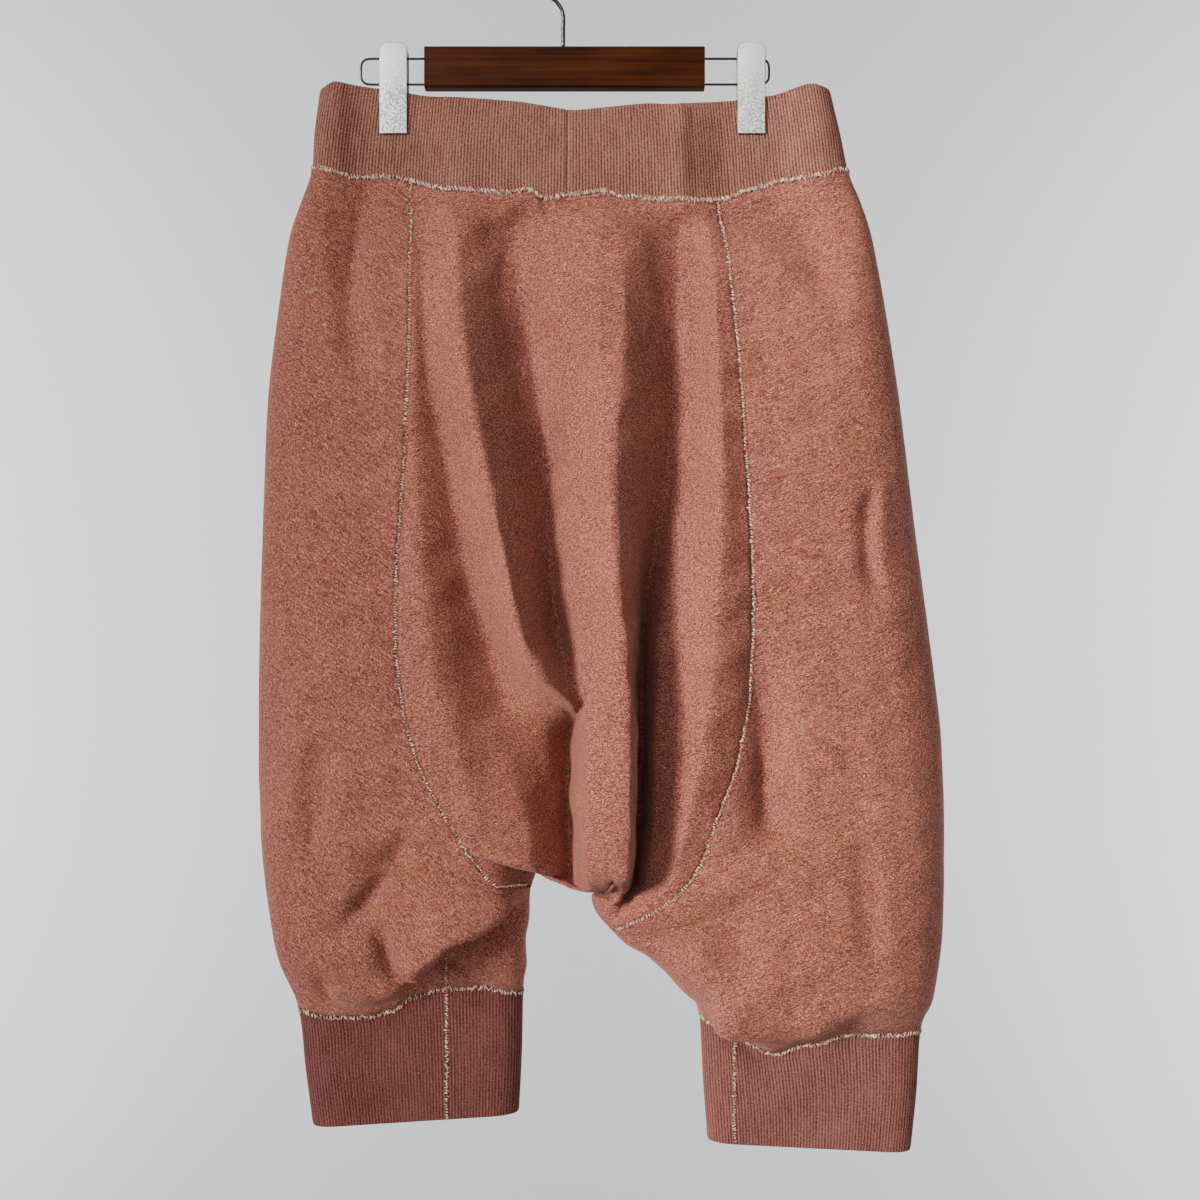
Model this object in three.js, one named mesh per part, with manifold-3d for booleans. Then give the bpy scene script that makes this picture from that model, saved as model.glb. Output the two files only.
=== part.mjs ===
// Cropped harem sweatpants on a clip hanger, in millimetres, +Z up, front towards -Y.
// The origin is the point inside the top of the hook that bears on a rail.
import * as THREE from "three";
import { mergeVertices } from "three/addons/utils/BufferGeometryUtils.js";
import Module from "manifold-3d";

const wasm = await Module();
wasm.setup();

// Driving dimensions
const BAND_WALL = 3.4; // doubled rib round elastic
const CLOTH_WALL = 2.0; // heavy brushed sweat cloth
const CUFF_WALL = 2.8; // doubled rib
const RIB_DEPTH = 0.5;
const WAIST_RIBS = 284;
const CUFF_RIBS = 112;
const SEAM_GAP = 0.3;
const CLEARANCE = 0.3; // between pieces that bear on each other
const PINCHED_HALF = 3.9; // half the waistband's depth between the jaws
const BAND_TIP = 6; // radius of a band's turn from front to back
const BODY_TIP = 24; // radius of the body's turn, where the cloth hangs free
const FOLD_SOFTNESS = 0.35; // 0 is straight from one fold of the gusset to the next, 1 is rounded

const HOOK = { wire: 3, radius: 22, stemTop: -51, kinkX: -6, kinkZ: -41.8, endAngle: -35 };
const BAR = { left: -94, right: 96, top: -75, height: 28, depth: 12, round: 2 };
const LOOP = { wire: 2, topZ: -82, bottomZ: -99.5, left: -138.5, right: 141, bend: 5 };
const CLIP = { left: -115, right: 127.5, width: 19, top: -72.5, bottom: -134.5, plate: 1.4, round: 5 };

// Cells across each panel, and the length of cloth from row to row
const CELLS = { legFront: 12, legBack: 9, fold: 2, rowStep: 20, lowRowStep: 14 };

// A section runs from the side edge to the centre line, and below the crotch to the inner leg.
// front and back are how far the cloth stands from the middle plane; centre is 1 where the
// section runs on into the other half, and 0 where front and back meet at the inner end.
const UPPER = {
  left: [
    { name: "band top", sideX: -165, sideZ: -103, front: 10, back: 10 },
    { name: "band middle", sideX: -169, sideZ: -132, front: 11.5, back: 11.5 },
    { name: "waist seam", sideX: -171, sideZ: -159, front: 12, back: 12 },
    { name: "below the seam", sideX: -178, sideZ: -181, front: 15, back: 12 },
    { name: "high hip", sideX: -186, sideZ: -208, front: 21, back: 16 },
    { name: "hip", sideX: -194, sideZ: -263, front: 29, back: 22 },
    { name: "seat", sideX: -200, sideZ: -317, front: 35, back: 27 },
    { name: "upper leg", sideX: -203, sideZ: -392, front: 39, back: 31 },
    { name: "middle leg", sideX: -205, sideZ: -455, front: 41, back: 33 },
    { name: "above the crotch", sideX: -206, sideZ: -505, front: 42, back: 34 },
    { name: "crotch turn", sideX: -206, sideZ: -528, front: 42, back: 34 },
    { name: "crotch", sideX: -206, sideZ: -545, front: 42, back: 34 },
  ],
  right: [
    { name: "band top", sideX: 181, sideZ: -103, front: 10, back: 10 },
    { name: "band middle", sideX: 188, sideZ: -132, front: 11.5, back: 11.5 },
    { name: "waist seam", sideX: 194, sideZ: -160, front: 12, back: 12 },
    { name: "below the seam", sideX: 202, sideZ: -181, front: 15, back: 12 },
    { name: "high hip", sideX: 210, sideZ: -208, front: 21, back: 16 },
    { name: "hip", sideX: 220, sideZ: -263, front: 29, back: 22 },
    { name: "seat", sideX: 228, sideZ: -317, front: 35, back: 27 },
    { name: "upper leg", sideX: 238, sideZ: -399, front: 39, back: 31 },
    { name: "middle leg", sideX: 247, sideZ: -467, front: 41, back: 33 },
    { name: "above the crotch", sideX: 255, sideZ: -532, front: 42, back: 34 },
    { name: "crotch turn", sideX: 257, sideZ: -566, front: 42, back: 34 },
    { name: "crotch", sideX: 258, sideZ: -590, front: 42, back: 34 },
  ],
};

// The centre line that both halves share, a row for each section above. ridge is how far the
// front's middle fold stands out there, and hollow how deep the back's lies.
const CENTRE = [
  { innerX: 8, innerZ: -118, centre: 1, ridge: 0, hollow: 0 },
  { innerX: 8, innerZ: -148, centre: 1, ridge: 0, hollow: 0 },
  { innerX: 8, innerZ: -178, centre: 1, ridge: 0, hollow: 0 },
  { innerX: 9, innerZ: -196, centre: 1, ridge: 6, hollow: -3 },
  { innerX: 12, innerZ: -223, centre: 1, ridge: 10, hollow: -6 },
  { innerX: 16, innerZ: -280, centre: 1, ridge: 14, hollow: -9 },
  { innerX: 20, innerZ: -337, centre: 1, ridge: 17, hollow: -11 },
  { innerX: 24, innerZ: -426, centre: 1, ridge: 23, hollow: -15 },
  { innerX: 27, innerZ: -514, centre: 1, ridge: 29, hollow: -19 },
  { innerX: 28, innerZ: -592, centre: 1, ridge: 31, hollow: -20 },
  { innerX: 27, innerZ: -632, centre: 0.72, ridge: 30, hollow: -16 },
  { innerX: 25, innerZ: -647, centre: 0, ridge: 24, hollow: -8 },
];

const LEGS = {
  left: [
    { name: "gusset lip", sideX: -206, sideZ: -567, innerX: -6, innerZ: -635, front: 42, back: 33 },
    { name: "gusset edge", sideX: -205, sideZ: -590, innerX: -17, innerZ: -629, front: 42, back: 33 },
    { name: "gusset end", sideX: -204, sideZ: -619, innerX: -21, innerZ: -643, front: 43, back: 33 },
    { name: "lower leg", sideX: -200, sideZ: -654, innerX: -24, innerZ: -674, front: 43, back: 32 },
    { name: "above the cuff", sideX: -193, sideZ: -693, innerX: -25, innerZ: -694, front: 38, back: 28 },
    { name: "cuff seam", sideX: -180, sideZ: -726, innerX: -27, innerZ: -714, front: 15, back: 14 },
    { name: "cuff middle", sideX: -175, sideZ: -768, innerX: -28, innerZ: -758, front: 13, back: 13 },
    { name: "cuff hem", sideX: -170, sideZ: -806, innerX: -30, innerZ: -797, front: 11, back: 12 },
  ],
  right: [
    { name: "gusset lip", sideX: 258, sideZ: -616, innerX: 20, innerZ: -652, front: 42, back: 33 },
    { name: "gusset end", sideX: 258, sideZ: -642, innerX: 29, innerZ: -671, front: 42, back: 33 },
    { name: "inner leg", sideX: 257, sideZ: -674, innerX: 56, innerZ: -690, front: 42, back: 32 },
    { name: "lower leg", sideX: 254, sideZ: -700, innerX: 70, innerZ: -704, front: 40, back: 30 },
    { name: "above the cuff", sideX: 250, sideZ: -722, innerX: 84, innerZ: -719, front: 34, back: 25 },
    { name: "cuff seam", sideX: 243, sideZ: -741, innerX: 92, innerZ: -730, front: 15, back: 14 },
    { name: "cuff middle", sideX: 240, sideZ: -784, innerX: 95, innerZ: -777, front: 13, back: 13 },
    { name: "cuff hem", sideX: 236, sideZ: -823, innerX: 98, innerZ: -816, front: 11, back: 12 },
  ],
};

// How far the waistband's top edge hangs below the straight row, by its place across
const TOP_WAVE = [
  { x: -165, drop: 0 },
  { x: -153, drop: -4.5 },
  { x: -125, drop: -3.5 },
  { x: -82, drop: -0.5 },
  { x: -33, drop: -1 },
  { x: 8, drop: 1.5 },
  { x: 54, drop: 1 },
  { x: 79, drop: 3.5 },
  { x: 113, drop: 2.5 },
  { x: 138, drop: 1.5 },
  { x: 166, drop: -3 },
  { x: 181, drop: 0 },
];

// How far the waist seam hangs below the straight row
const WAIST_WAVE = [
  { x: -171, drop: 0 },
  { x: -142, drop: 3.5 },
  { x: -114, drop: 0 },
  { x: -77, drop: 5.5 },
  { x: -40, drop: 4.5 },
  { x: -24, drop: 1 },
  { x: -11, drop: 5 },
  { x: 8, drop: 0.5 },
  { x: 25, drop: 0 },
  { x: 42, drop: 6 },
  { x: 70, drop: 10 },
  { x: 95, drop: 12.5 },
  { x: 110, drop: 11.5 },
  { x: 127, drop: 7 },
  { x: 148, drop: 3.5 },
  { x: 170, drop: 4 },
  { x: 194, drop: 0 },
];

// How far each cuff seam hangs below the straight row
const CUFF_WAVE = {
  left: [
    { x: -180, drop: 0 },
    { x: -150, drop: 5 },
    { x: -128, drop: 6 },
    { x: -116, drop: 3.5 },
    { x: -98, drop: -5 },
    { x: -81, drop: -9 },
    { x: -57, drop: -8 },
    { x: -27, drop: 0 },
  ],
  right: [
    { x: 92, drop: 0 },
    { x: 104, drop: 5 },
    { x: 118, drop: 12 },
    { x: 141, drop: 20 },
    { x: 165, drop: 12 },
    { x: 195, drop: 3 },
    { x: 243, drop: 0 },
  ],
};

// The two curved seams between the centre gusset and the legs, from the waist to the inner leg
const GUSSET_SEAM = {
  left: [
    { x: -105, z: -150 },
    { x: -103, z: -176 },
    { x: -101, z: -254 },
    { x: -103, z: -347 },
    { x: -108, z: -427 },
    { x: -108, z: -486 },
    { x: -102, z: -529 },
    { x: -90, z: -566 },
    { x: -70, z: -602 },
    { x: -59, z: -619 },
    { x: -49, z: -631 },
    { x: -41, z: -635 },
    { x: -31, z: -638 },
    { x: -21, z: -643 },
  ],
  right: [
    { x: 103, z: -150 },
    { x: 106, z: -184 },
    { x: 115, z: -267 },
    { x: 121, z: -354 },
    { x: 125, z: -427 },
    { x: 125, z: -479 },
    { x: 122, z: -519 },
    { x: 114, z: -559 },
    { x: 101, z: -594 },
    { x: 89, z: -626 },
    { x: 75, z: -644 },
    { x: 58, z: -656 },
    { x: 42, z: -665 },
    { x: 29, z: -671 },
  ],
};

// Folds that hang down the gusset, from the seam to the centre line. rise is how far the fold
// stands out of the cloth at each place, or below 0 how deep it lies, and lean pushes it along x.
const GUSSET_FOLDS = {
  front: {
    left: [
      {
        name: "left swell",
        lean: 0,
        path: [
          { x: -101, z: -150, rise: 0 },
          { x: -99, z: -250, rise: 0 },
          { x: -98, z: -340, rise: 1 },
          { x: -94, z: -396, rise: 4 },
          { x: -90, z: -438, rise: 6 },
          { x: -83, z: -495, rise: 8 },
          { x: -73, z: -540, rise: 6 },
          { x: -58, z: -585, rise: 2 },
          { x: -46, z: -620, rise: 0 },
          { x: -38, z: -655, rise: 0 },
        ],
      },
      {
        name: "outer hollow",
        lean: 0,
        path: [
          { x: -97, z: -150, rise: 0 },
          { x: -93, z: -250, rise: -3 },
          { x: -85, z: -320, rise: -7 },
          { x: -76, z: -359, rise: -11 },
          { x: -68, z: -405, rise: -14 },
          { x: -60, z: -440, rise: -16 },
          { x: -50, z: -475, rise: -17 },
          { x: -43, z: -510, rise: -16 },
          { x: -38, z: -538, rise: -9 },
          { x: -30, z: -570, rise: -6 },
          { x: -22, z: -600, rise: -5 },
          { x: -19, z: -655, rise: -2 },
        ],
      },
      {
        name: "left ridge",
        lean: 4,
        path: [
          { x: -76, z: -150, rise: 6 },
          { x: -72, z: -225, rise: 13 },
          { x: -66, z: -298, rise: 18 },
          { x: -54, z: -358, rise: 20 },
          { x: -39, z: -427, rise: 24 },
          { x: -27, z: -480, rise: 27 },
          { x: -14, z: -502, rise: 27 },
          { x: 0, z: -513, rise: 25 },
          { x: 5, z: -519, rise: 18 },
          { x: -14, z: -533, rise: -14 },
          { x: -14, z: -560, rise: -22 },
          { x: -9, z: -600, rise: -26 },
          { x: -6, z: -655, rise: -10 },
        ],
      },
      {
        name: "hollow beside the ridge",
        lean: -2,
        path: [
          { x: -30, z: -150, rise: -11 },
          { x: -29, z: -222, rise: -18 },
          { x: -19, z: -290, rise: -21 },
          { x: -9, z: -354, rise: -21 },
          { x: -6, z: -427, rise: -21 },
          { x: 0, z: -480, rise: -18 },
          { x: 10, z: -508, rise: 6 },
          { x: 13, z: -520, rise: 8 },
          { x: 7, z: -536, rise: -32 },
          { x: 6, z: -580, rise: -40 },
          { x: 7, z: -620, rise: -38 },
          { x: 8, z: -660, rise: -16 },
        ],
      },
      {
        name: "middle fold's left edge",
        lean: 0,
        path: [
          { x: -8, z: -150, rise: -3 },
          { x: -5, z: -222, rise: -1 },
          { x: 3, z: -290, rise: 0 },
          { x: 8, z: -354, rise: 2 },
          { x: 10, z: -427, rise: 3 },
          { x: 14, z: -486, rise: 8 },
          { x: 17, z: -514, rise: 16 },
          { x: 15, z: -540, rise: 21 },
          { x: 15, z: -580, rise: 25 },
          { x: 16, z: -640, rise: 18 },
          { x: 17, z: -660, rise: 10 },
        ],
      },
    ],
    right: [
      {
        name: "right slope",
        lean: 0,
        path: [
          { x: 94, z: -150, rise: 0 },
          { x: 101, z: -250, rise: 4 },
          { x: 104, z: -350, rise: 7 },
          { x: 103, z: -430, rise: 8 },
          { x: 98, z: -500, rise: 9 },
          { x: 88, z: -570, rise: 8 },
          { x: 72, z: -630, rise: 3 },
          { x: 60, z: -660, rise: 0 },
        ],
      },
      {
        name: "far side of the deep hollow",
        lean: 0,
        path: [
          { x: 84, z: -150, rise: -7 },
          { x: 88, z: -222, rise: -12 },
          { x: 87, z: -290, rise: -15 },
          { x: 83, z: -354, rise: -16 },
          { x: 75, z: -405, rise: -14 },
          { x: 67, z: -450, rise: -12 },
          { x: 63, z: -495, rise: -10 },
          { x: 61, z: -540, rise: -9 },
          { x: 60, z: -585, rise: -10 },
          { x: 54, z: -660, rise: -14 },
        ],
      },
      {
        name: "deep hollow",
        lean: -3,
        path: [
          { x: 76, z: -150, rise: -11 },
          { x: 80, z: -222, rise: -18 },
          { x: 79, z: -290, rise: -22 },
          { x: 74, z: -354, rise: -25 },
          { x: 66, z: -410, rise: -30 },
          { x: 59, z: -450, rise: -38 },
          { x: 56, z: -495, rise: -44 },
          { x: 55, z: -585, rise: -48 },
          { x: 49, z: -660, rise: -32 },
        ],
      },
      {
        name: "middle fold's right edge",
        lean: 4,
        path: [
          { x: 36, z: -150, rise: 4 },
          { x: 37, z: -222, rise: 10 },
          { x: 35, z: -300, rise: 16 },
          { x: 31, z: -361, rise: 19 },
          { x: 32, z: -409, rise: 22 },
          { x: 34, z: -446, rise: 25 },
          { x: 38, z: -478, rise: 28 },
          { x: 40, z: -504, rise: 30 },
          { x: 41, z: -556, rise: 32 },
          { x: 41, z: -609, rise: 30 },
          { x: 38, z: -640, rise: 22 },
          { x: 34, z: -665, rise: 14 },
        ],
      },
    ],
  },
  back: {
    left: [
      {
        name: "back left hollow",
        lean: 0,
        path: [
          { x: -82, z: -150, rise: 0 },
          { x: -80, z: -330, rise: -6 },
          { x: -68, z: -430, rise: -8 },
          { x: -50, z: -540, rise: -12 },
          { x: -30, z: -645, rise: -6 },
        ],
      },
      {
        name: "back left ridge",
        lean: 4,
        path: [
          { x: -50, z: -150, rise: 0 },
          { x: -40, z: -300, rise: 10 },
          { x: -28, z: -420, rise: 14 },
          { x: -14, z: -520, rise: 18 },
          { x: -8, z: -645, rise: 8 },
        ],
      },
    ],
    right: [
      {
        name: "back right hollow",
        lean: 0,
        path: [
          { x: 84, z: -150, rise: 0 },
          { x: 94, z: -360, rise: -7 },
          { x: 94, z: -470, rise: -9 },
          { x: 80, z: -580, rise: -10 },
          { x: 58, z: -660, rise: -4 },
        ],
      },
      {
        name: "back right ridge",
        lean: -4,
        path: [
          { x: 44, z: -150, rise: 0 },
          { x: 54, z: -300, rise: 10 },
          { x: 60, z: -420, rise: 15 },
          { x: 62, z: -530, rise: 18 },
          { x: 46, z: -660, rise: 8 },
        ],
      },
    ],
  },
};

// Smaller folds of the legs, down each path. rise is at the path's start and end. left and right
// are the reach to each side, and lean pushes the crest towards the path's right. fade is the
// share of the path that eases in and out.
const LEG_FOLDS = {
  front: [
    {
      name: "left leg hollow", rise: [-6, -4], left: 19, right: 19, lean: 0, fade: [0.2, 0.3],
      path: [[-141, -182], [-142, -229], [-137, -275], [-125, -325]],
    },
    {
      name: "left side crease", rise: [-6, -6], left: 19, right: 19, lean: 0, fade: [0.3, 0.3],
      path: [[-155, -535], [-162, -578], [-173, -625]],
    },
    {
      name: "left diagonal hollow", rise: [-11, -9], left: 26, right: 13, lean: 0, fade: [0.3, 0.3],
      path: [[-106, -607], [-122, -636], [-142, -664]],
    },
    {
      name: "left droop", rise: [10, 19], left: 34, right: 8, lean: 10, fade: [0.15, 0.2],
      path: [[-26, -643], [-40, -650], [-60, -659], [-80, -668], [-91, -682], [-98, -695], [-116, -704]],
    },
    {
      name: "left inner hollow", rise: [-15, -22], left: 6, right: 42, lean: 0, fade: [0.1, 0.2],
      path: [[-24, -652], [-36, -661], [-56, -670], [-73, -679], [-80, -692], [-90, -706]],
    },
    {
      name: "left low bag", rise: [8, 6], left: 19, right: 15, lean: 6, fade: [0.2, 0.3],
      path: [[-104, -703], [-126, -712], [-160, -713]],
    },
    {
      name: "right leg hollow", rise: [-7, -8], left: 27, right: 27, lean: 0, fade: [0.3, 0.3],
      path: [[129, -453], [134, -519], [136, -578], [134, -622]],
    },
    {
      name: "right hip hollow", rise: [-8, -5], left: 24, right: 24, lean: 0, fade: [0.2, 0.4],
      path: [[157, -182], [165, -215], [183, -268]],
    },
    {
      name: "right inner crease", rise: [-7, -4], left: 16, right: 16, lean: 0, fade: [0.1, 0.4],
      path: [[38, -672], [66, -676], [92, -690]],
    },
    {
      name: "right low hollow", rise: [-6, -7], left: 24, right: 24, lean: 0, fade: [0.3, 0.3],
      path: [[104, -640], [112, -680], [120, -712]],
    },
    {
      name: "right droop", rise: [9, 10], left: 24, right: 22, lean: 12, fade: [0.3, 0.1],
      path: [[196, -722], [168, -732], [146, -738], [122, -728], [96, -718]],
    },
  ],
  back: [
    {
      name: "back left leg hollow", rise: [-5, -5], left: 24, right: 24, lean: 0, fade: [0.3, 0.4],
      path: [[-140, -190], [-146, -280], [-150, -360]],
    },
    {
      name: "back left diagonal", rise: [-7, -8], left: 24, right: 24, lean: 0, fade: [0.3, 0.3],
      path: [[-100, -600], [-124, -640], [-152, -680]],
    },
    {
      name: "back left bag", rise: [7, 8], left: 24, right: 19, lean: 8, fade: [0.3, 0.3],
      path: [[-40, -690], [-90, -712], [-150, -716]],
    },
    {
      name: "back right leg hollow", rise: [-5, -5], left: 24, right: 24, lean: 0, fade: [0.3, 0.4],
      path: [[176, -200], [186, -300], [180, -420]],
    },
    {
      name: "back right diagonal", rise: [-7, -7], left: 24, right: 24, lean: 0, fade: [0.3, 0.3],
      path: [[132, -600], [160, -650], [196, -700]],
    },
    {
      name: "back right bag", rise: [7, 8], left: 24, right: 19, lean: 8, fade: [0.3, 0.3],
      path: [[216, -724], [170, -738], [112, -726]],
    },
  ],
};

// Small helpers on numbers
const clamp01 = (s) => Math.min(1, Math.max(0, s));
const ease = (s) => clamp01(s) ** 2 * (3 - 2 * clamp01(s));
const lerp = THREE.MathUtils.lerp;

// A table's column at a place between its rows, on a smooth curve through them
function smoothColumn(table, column, t) {
  const last = table.length - 1;
  const i = Math.min(last - 1, Math.max(0, Math.floor(t)));
  const s = t - i;
  const at = (k) => table[Math.min(last, Math.max(0, k))][column];
  const [a, b, c, d] = [at(i - 1), at(i), at(i + 1), at(i + 2)];
  const slope0 = (c - a) / 2;
  const slope1 = (d - b) / 2;
  const s2 = s * s;
  const s3 = s2 * s;
  return (2 * s3 - 3 * s2 + 1) * b + (s3 - 2 * s2 + s) * slope0 + (3 * s2 - 2 * s3) * c + (s3 - s2) * slope1;
}

// A wave table's drop at x, eased from row to row
function waveDrop(table, x) {
  const i = table.findIndex((row) => row.x > x);
  if (i <= 0) return 0;
  const [a, b] = [table[i - 1], table[i]];
  return lerp(a.drop, b.drop, ease((x - a.x) / (b.x - a.x)));
}

const SECTIONS = {};
for (const half of ["left", "right"]) {
  const upper = UPPER[half].map((row, i) => ({ ...row, ...CENTRE[i] }));
  const legs = LEGS[half].map((row) => ({ ...row, centre: 0, ridge: 0, hollow: 0 }));
  SECTIONS[half] = [...upper, ...legs];
}
const placeOf = (half, name) => SECTIONS[half].findIndex((row) => row.name === name);
const WAIST_ROW = placeOf("left", "waist seam");
const CROTCH_ROW = placeOf("left", "crotch");
const GUSSET_END = { left: placeOf("left", "gusset end"), right: placeOf("right", "gusset end") };
const CUFF_ROW = placeOf("left", "cuff seam");
const HEM_ROW = placeOf("left", "cuff hem");

function sectionAt(half, t) {
  const read = (column) => smoothColumn(SECTIONS[half], column, t);
  return {
    side: new THREE.Vector2(read("sideX"), read("sideZ")),
    inner: new THREE.Vector2(read("innerX"), read("innerZ")),
    front: read("front"),
    back: read("back"),
    centre: t > CROTCH_ROW ? 0 : clamp01(read("centre")),
    centreRise: { front: read("ridge"), back: read("hollow") },
  };
}

// A seam or fold path as a polyline on a smooth curve. Its third number is the fold's rise.
function lineOf(path) {
  const stepsBetween = 10;
  const curve = new THREE.CatmullRomCurve3(path.map((p) => new THREE.Vector3(p.x, p.z, p.rise ?? 0)));
  return curve.getPoints(stepsBetween * (path.length - 1));
}
const SEAM_LINES = { left: lineOf(GUSSET_SEAM.left), right: lineOf(GUSSET_SEAM.right) };
for (const layer of ["front", "back"]) {
  for (const fold of LEG_FOLDS[layer]) fold.line = lineOf(fold.path.map(([x, z]) => ({ x, z })));
  for (const half of ["left", "right"])
    for (const fold of GUSSET_FOLDS[layer][half]) fold.line = lineOf(fold.path);
}

// Where a section crosses a line, as a share of its length from the side edge, with the rise
function crossing(half, t, line) {
  const { side, inner } = sectionAt(half, t);
  const run = inner.clone().sub(side);
  for (let i = 0; i + 1 < line.length; i++) {
    const step = new THREE.Vector2(line[i + 1].x - line[i].x, line[i + 1].y - line[i].y);
    const det = run.cross(step);
    const from = new THREE.Vector2(line[i].x - side.x, line[i].y - side.y);
    const share = from.cross(step) / det;
    const along = from.cross(run) / det;
    if (along >= 0 && along <= 1 && share > 0 && share <= 1)
      return { share, rise: lerp(line[i].z, line[i + 1].z, along) };
  }
  return { share: 1, rise: 0 };
}

const seamShare = (half, t) => (t >= GUSSET_END[half] ? 1 : crossing(half, t, SEAM_LINES[half]).share);

// The gusset's folds on one section, from the seam to the centre line or inner leg. Below the
// crotch they keep their order, and die away before the gusset's end.
const foldCache = new Map();
function gussetFolds(half, t, layer) {
  const key = [half, t, layer].join();
  if (foldCache.has(key)) return foldCache.get(key);
  const upTo = Math.min(t, CROTCH_ROW);
  const seam = seamShare(half, upTo);
  const last = { share: 1, rise: sectionAt(half, upTo).centreRise[layer], lean: layer === "front" ? 9 : 0 };
  const keys = [
    { share: seam, rise: 0, lean: 0 },
    ...GUSSET_FOLDS[layer][half].map(({ line, lean }) => ({ ...crossing(half, upTo, line), lean })),
    last,
  ];
  const start = seamShare(half, t);
  const left = 1 - ease((t - CROTCH_ROW) / (GUSSET_END[half] - CROTCH_ROW));
  const moved = keys.map(({ share, rise, lean }) => ({
    share: lerp(start, 1, (share - seam) / (1 - seam)),
    rise: rise * left,
    lean: lean * left,
  }));
  foldCache.set(key, moved);
  return moved;
}

// The gusset folds' push on a point: along x, and out of the cloth
function gussetPush(half, t, layer, across) {
  const keys = gussetFolds(half, t, layer);
  const i = keys.findIndex((key, n) => n > 0 && across <= key.share);
  if (across <= keys[0].share || i < 1) return { x: 0, out: 0 };
  const [a, b] = [keys[i - 1], keys[i]];
  const u = clamp01((across - a.share) / (b.share - a.share));
  const s = lerp(u, ease(u), FOLD_SOFTNESS);
  const strength = clamp01((t - WAIST_ROW) / 2);
  return { x: lerp(a.lean, b.lean, s) * strength, out: lerp(a.rise, b.rise, s) };
}

// A fold's push on a point of the flat section: x, out of the cloth, z
function foldPush(fold, x, z, push) {
  const { line } = fold;
  const reach = Math.max(fold.left, fold.right);
  let best = Infinity;
  let away = 0;
  let along = 0;
  let across = null;
  for (let i = 0; i + 1 < line.length; i++) {
    const [ax, az] = [line[i].x, line[i].y];
    const [dx, dz] = [line[i + 1].x - ax, line[i + 1].y - az];
    const length = Math.hypot(dx, dz);
    const s = clamp01(((x - ax) * dx + (z - az) * dz) / length ** 2);
    const [ex, ez] = [x - ax - s * dx, z - az - s * dz];
    const far = Math.hypot(ex, ez);
    if (far < best) {
      best = far;
      across = [-dz / length, dx / length];
      away = Math.sign(ex * across[0] + ez * across[1]) * far;
      along = (i + s) / (line.length - 1);
    }
  }
  if (best > reach) return;
  const width = away > 0 ? fold.right : fold.left;
  if (best > width) return;
  const crest = (1 + Math.cos((Math.PI * away) / width)) / 2;
  const [fadeIn, fadeOut] = fold.fade;
  const start = fadeIn > 0 ? ease(along / fadeIn) : 1;
  const end = fadeOut > 0 ? ease((1 - along) / fadeOut) : 1;
  const size = crest * start * end;
  push.x += across[0] * fold.lean * size;
  push.z += across[1] * fold.lean * size;
  push.out += lerp(fold.rise[0], fold.rise[1], along) * size;
}

// How full the section is at a distance from an end where the cloth turns from front to back
function endRound(t, distance, depth, run) {
  const free = ease((t - WAIST_ROW) / 2) * ease((CUFF_ROW - t) / 1.5);
  const reach = Math.min(depth ** 2 / lerp(BAND_TIP, BODY_TIP, free), run / 2);
  const fullness = 2.3;
  return (1 - (1 - clamp01(distance / reach)) ** fullness) ** (1 / fullness);
}

// The jaws press the waistband flat: 1 under a clip, 0 clear of it
function pinch(x, z) {
  const flat = CLIP.width / 2 + 4.5;
  const fadeAcross = 34;
  const fadeDown = 60;
  const far = Math.min(Math.abs(x - CLIP.left), Math.abs(x - CLIP.right));
  return (1 - ease((far - flat) / fadeAcross)) * (1 - ease((CLIP.bottom - 34 - z) / fadeDown));
}

// A point of the cloth's outer face. across is the share of the section from its side edge.
function clothPoint(half, t, layer, across) {
  const row = sectionAt(half, t);
  const flat = row.side.clone().lerp(row.inner, across);
  const outward = layer === "front" ? -1 : 1;
  const depth = row[layer];
  const run = row.side.distanceTo(row.inner);
  const round = endRound(t, across * run, depth, run);
  const roundInner = lerp(endRound(t, (1 - across) * run, depth, run), 1, row.centre);
  let out = depth * round * roundInner;

  const nearWaist = ease((t - WAIST_ROW) / 1.3);
  const nearCuff = ease((CUFF_ROW - t) / 0.8);
  const nearSide = ease(across / 0.16);
  const nearInner = lerp(ease((1 - across) / 0.12), 1, row.centre);
  const hold = nearWaist * nearCuff * nearSide * nearInner;
  const push = { z: 0, ...gussetPush(half, t, layer, across) };
  for (const fold of LEG_FOLDS[layer]) foldPush(fold, flat.x, flat.y, push);
  out += push.out * hold;
  const x = flat.x + push.x * hold;
  let z = flat.y + push.z * hold;

  const waistPull = 1 - ease((t - WAIST_ROW) / 2.4);
  const bandPull = ease(t / WAIST_ROW);
  z -= waveDrop(TOP_WAVE, flat.x) * (1 - bandPull) + waveDrop(WAIST_WAVE, flat.x) * waistPull * bandPull;
  const cuffPull = ease((t - CUFF_ROW + 2) / 2) * ease((CUFF_ROW + 1.6 - t) / 1.6);
  z -= waveDrop(CUFF_WAVE[half], flat.x) * cuffPull;

  const press = pinch(flat.x, z);
  out = lerp(Math.max(out, 0), Math.min(out, PINCHED_HALF * round), press);
  return new THREE.Vector3(x, outward * out, z);
}

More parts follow.
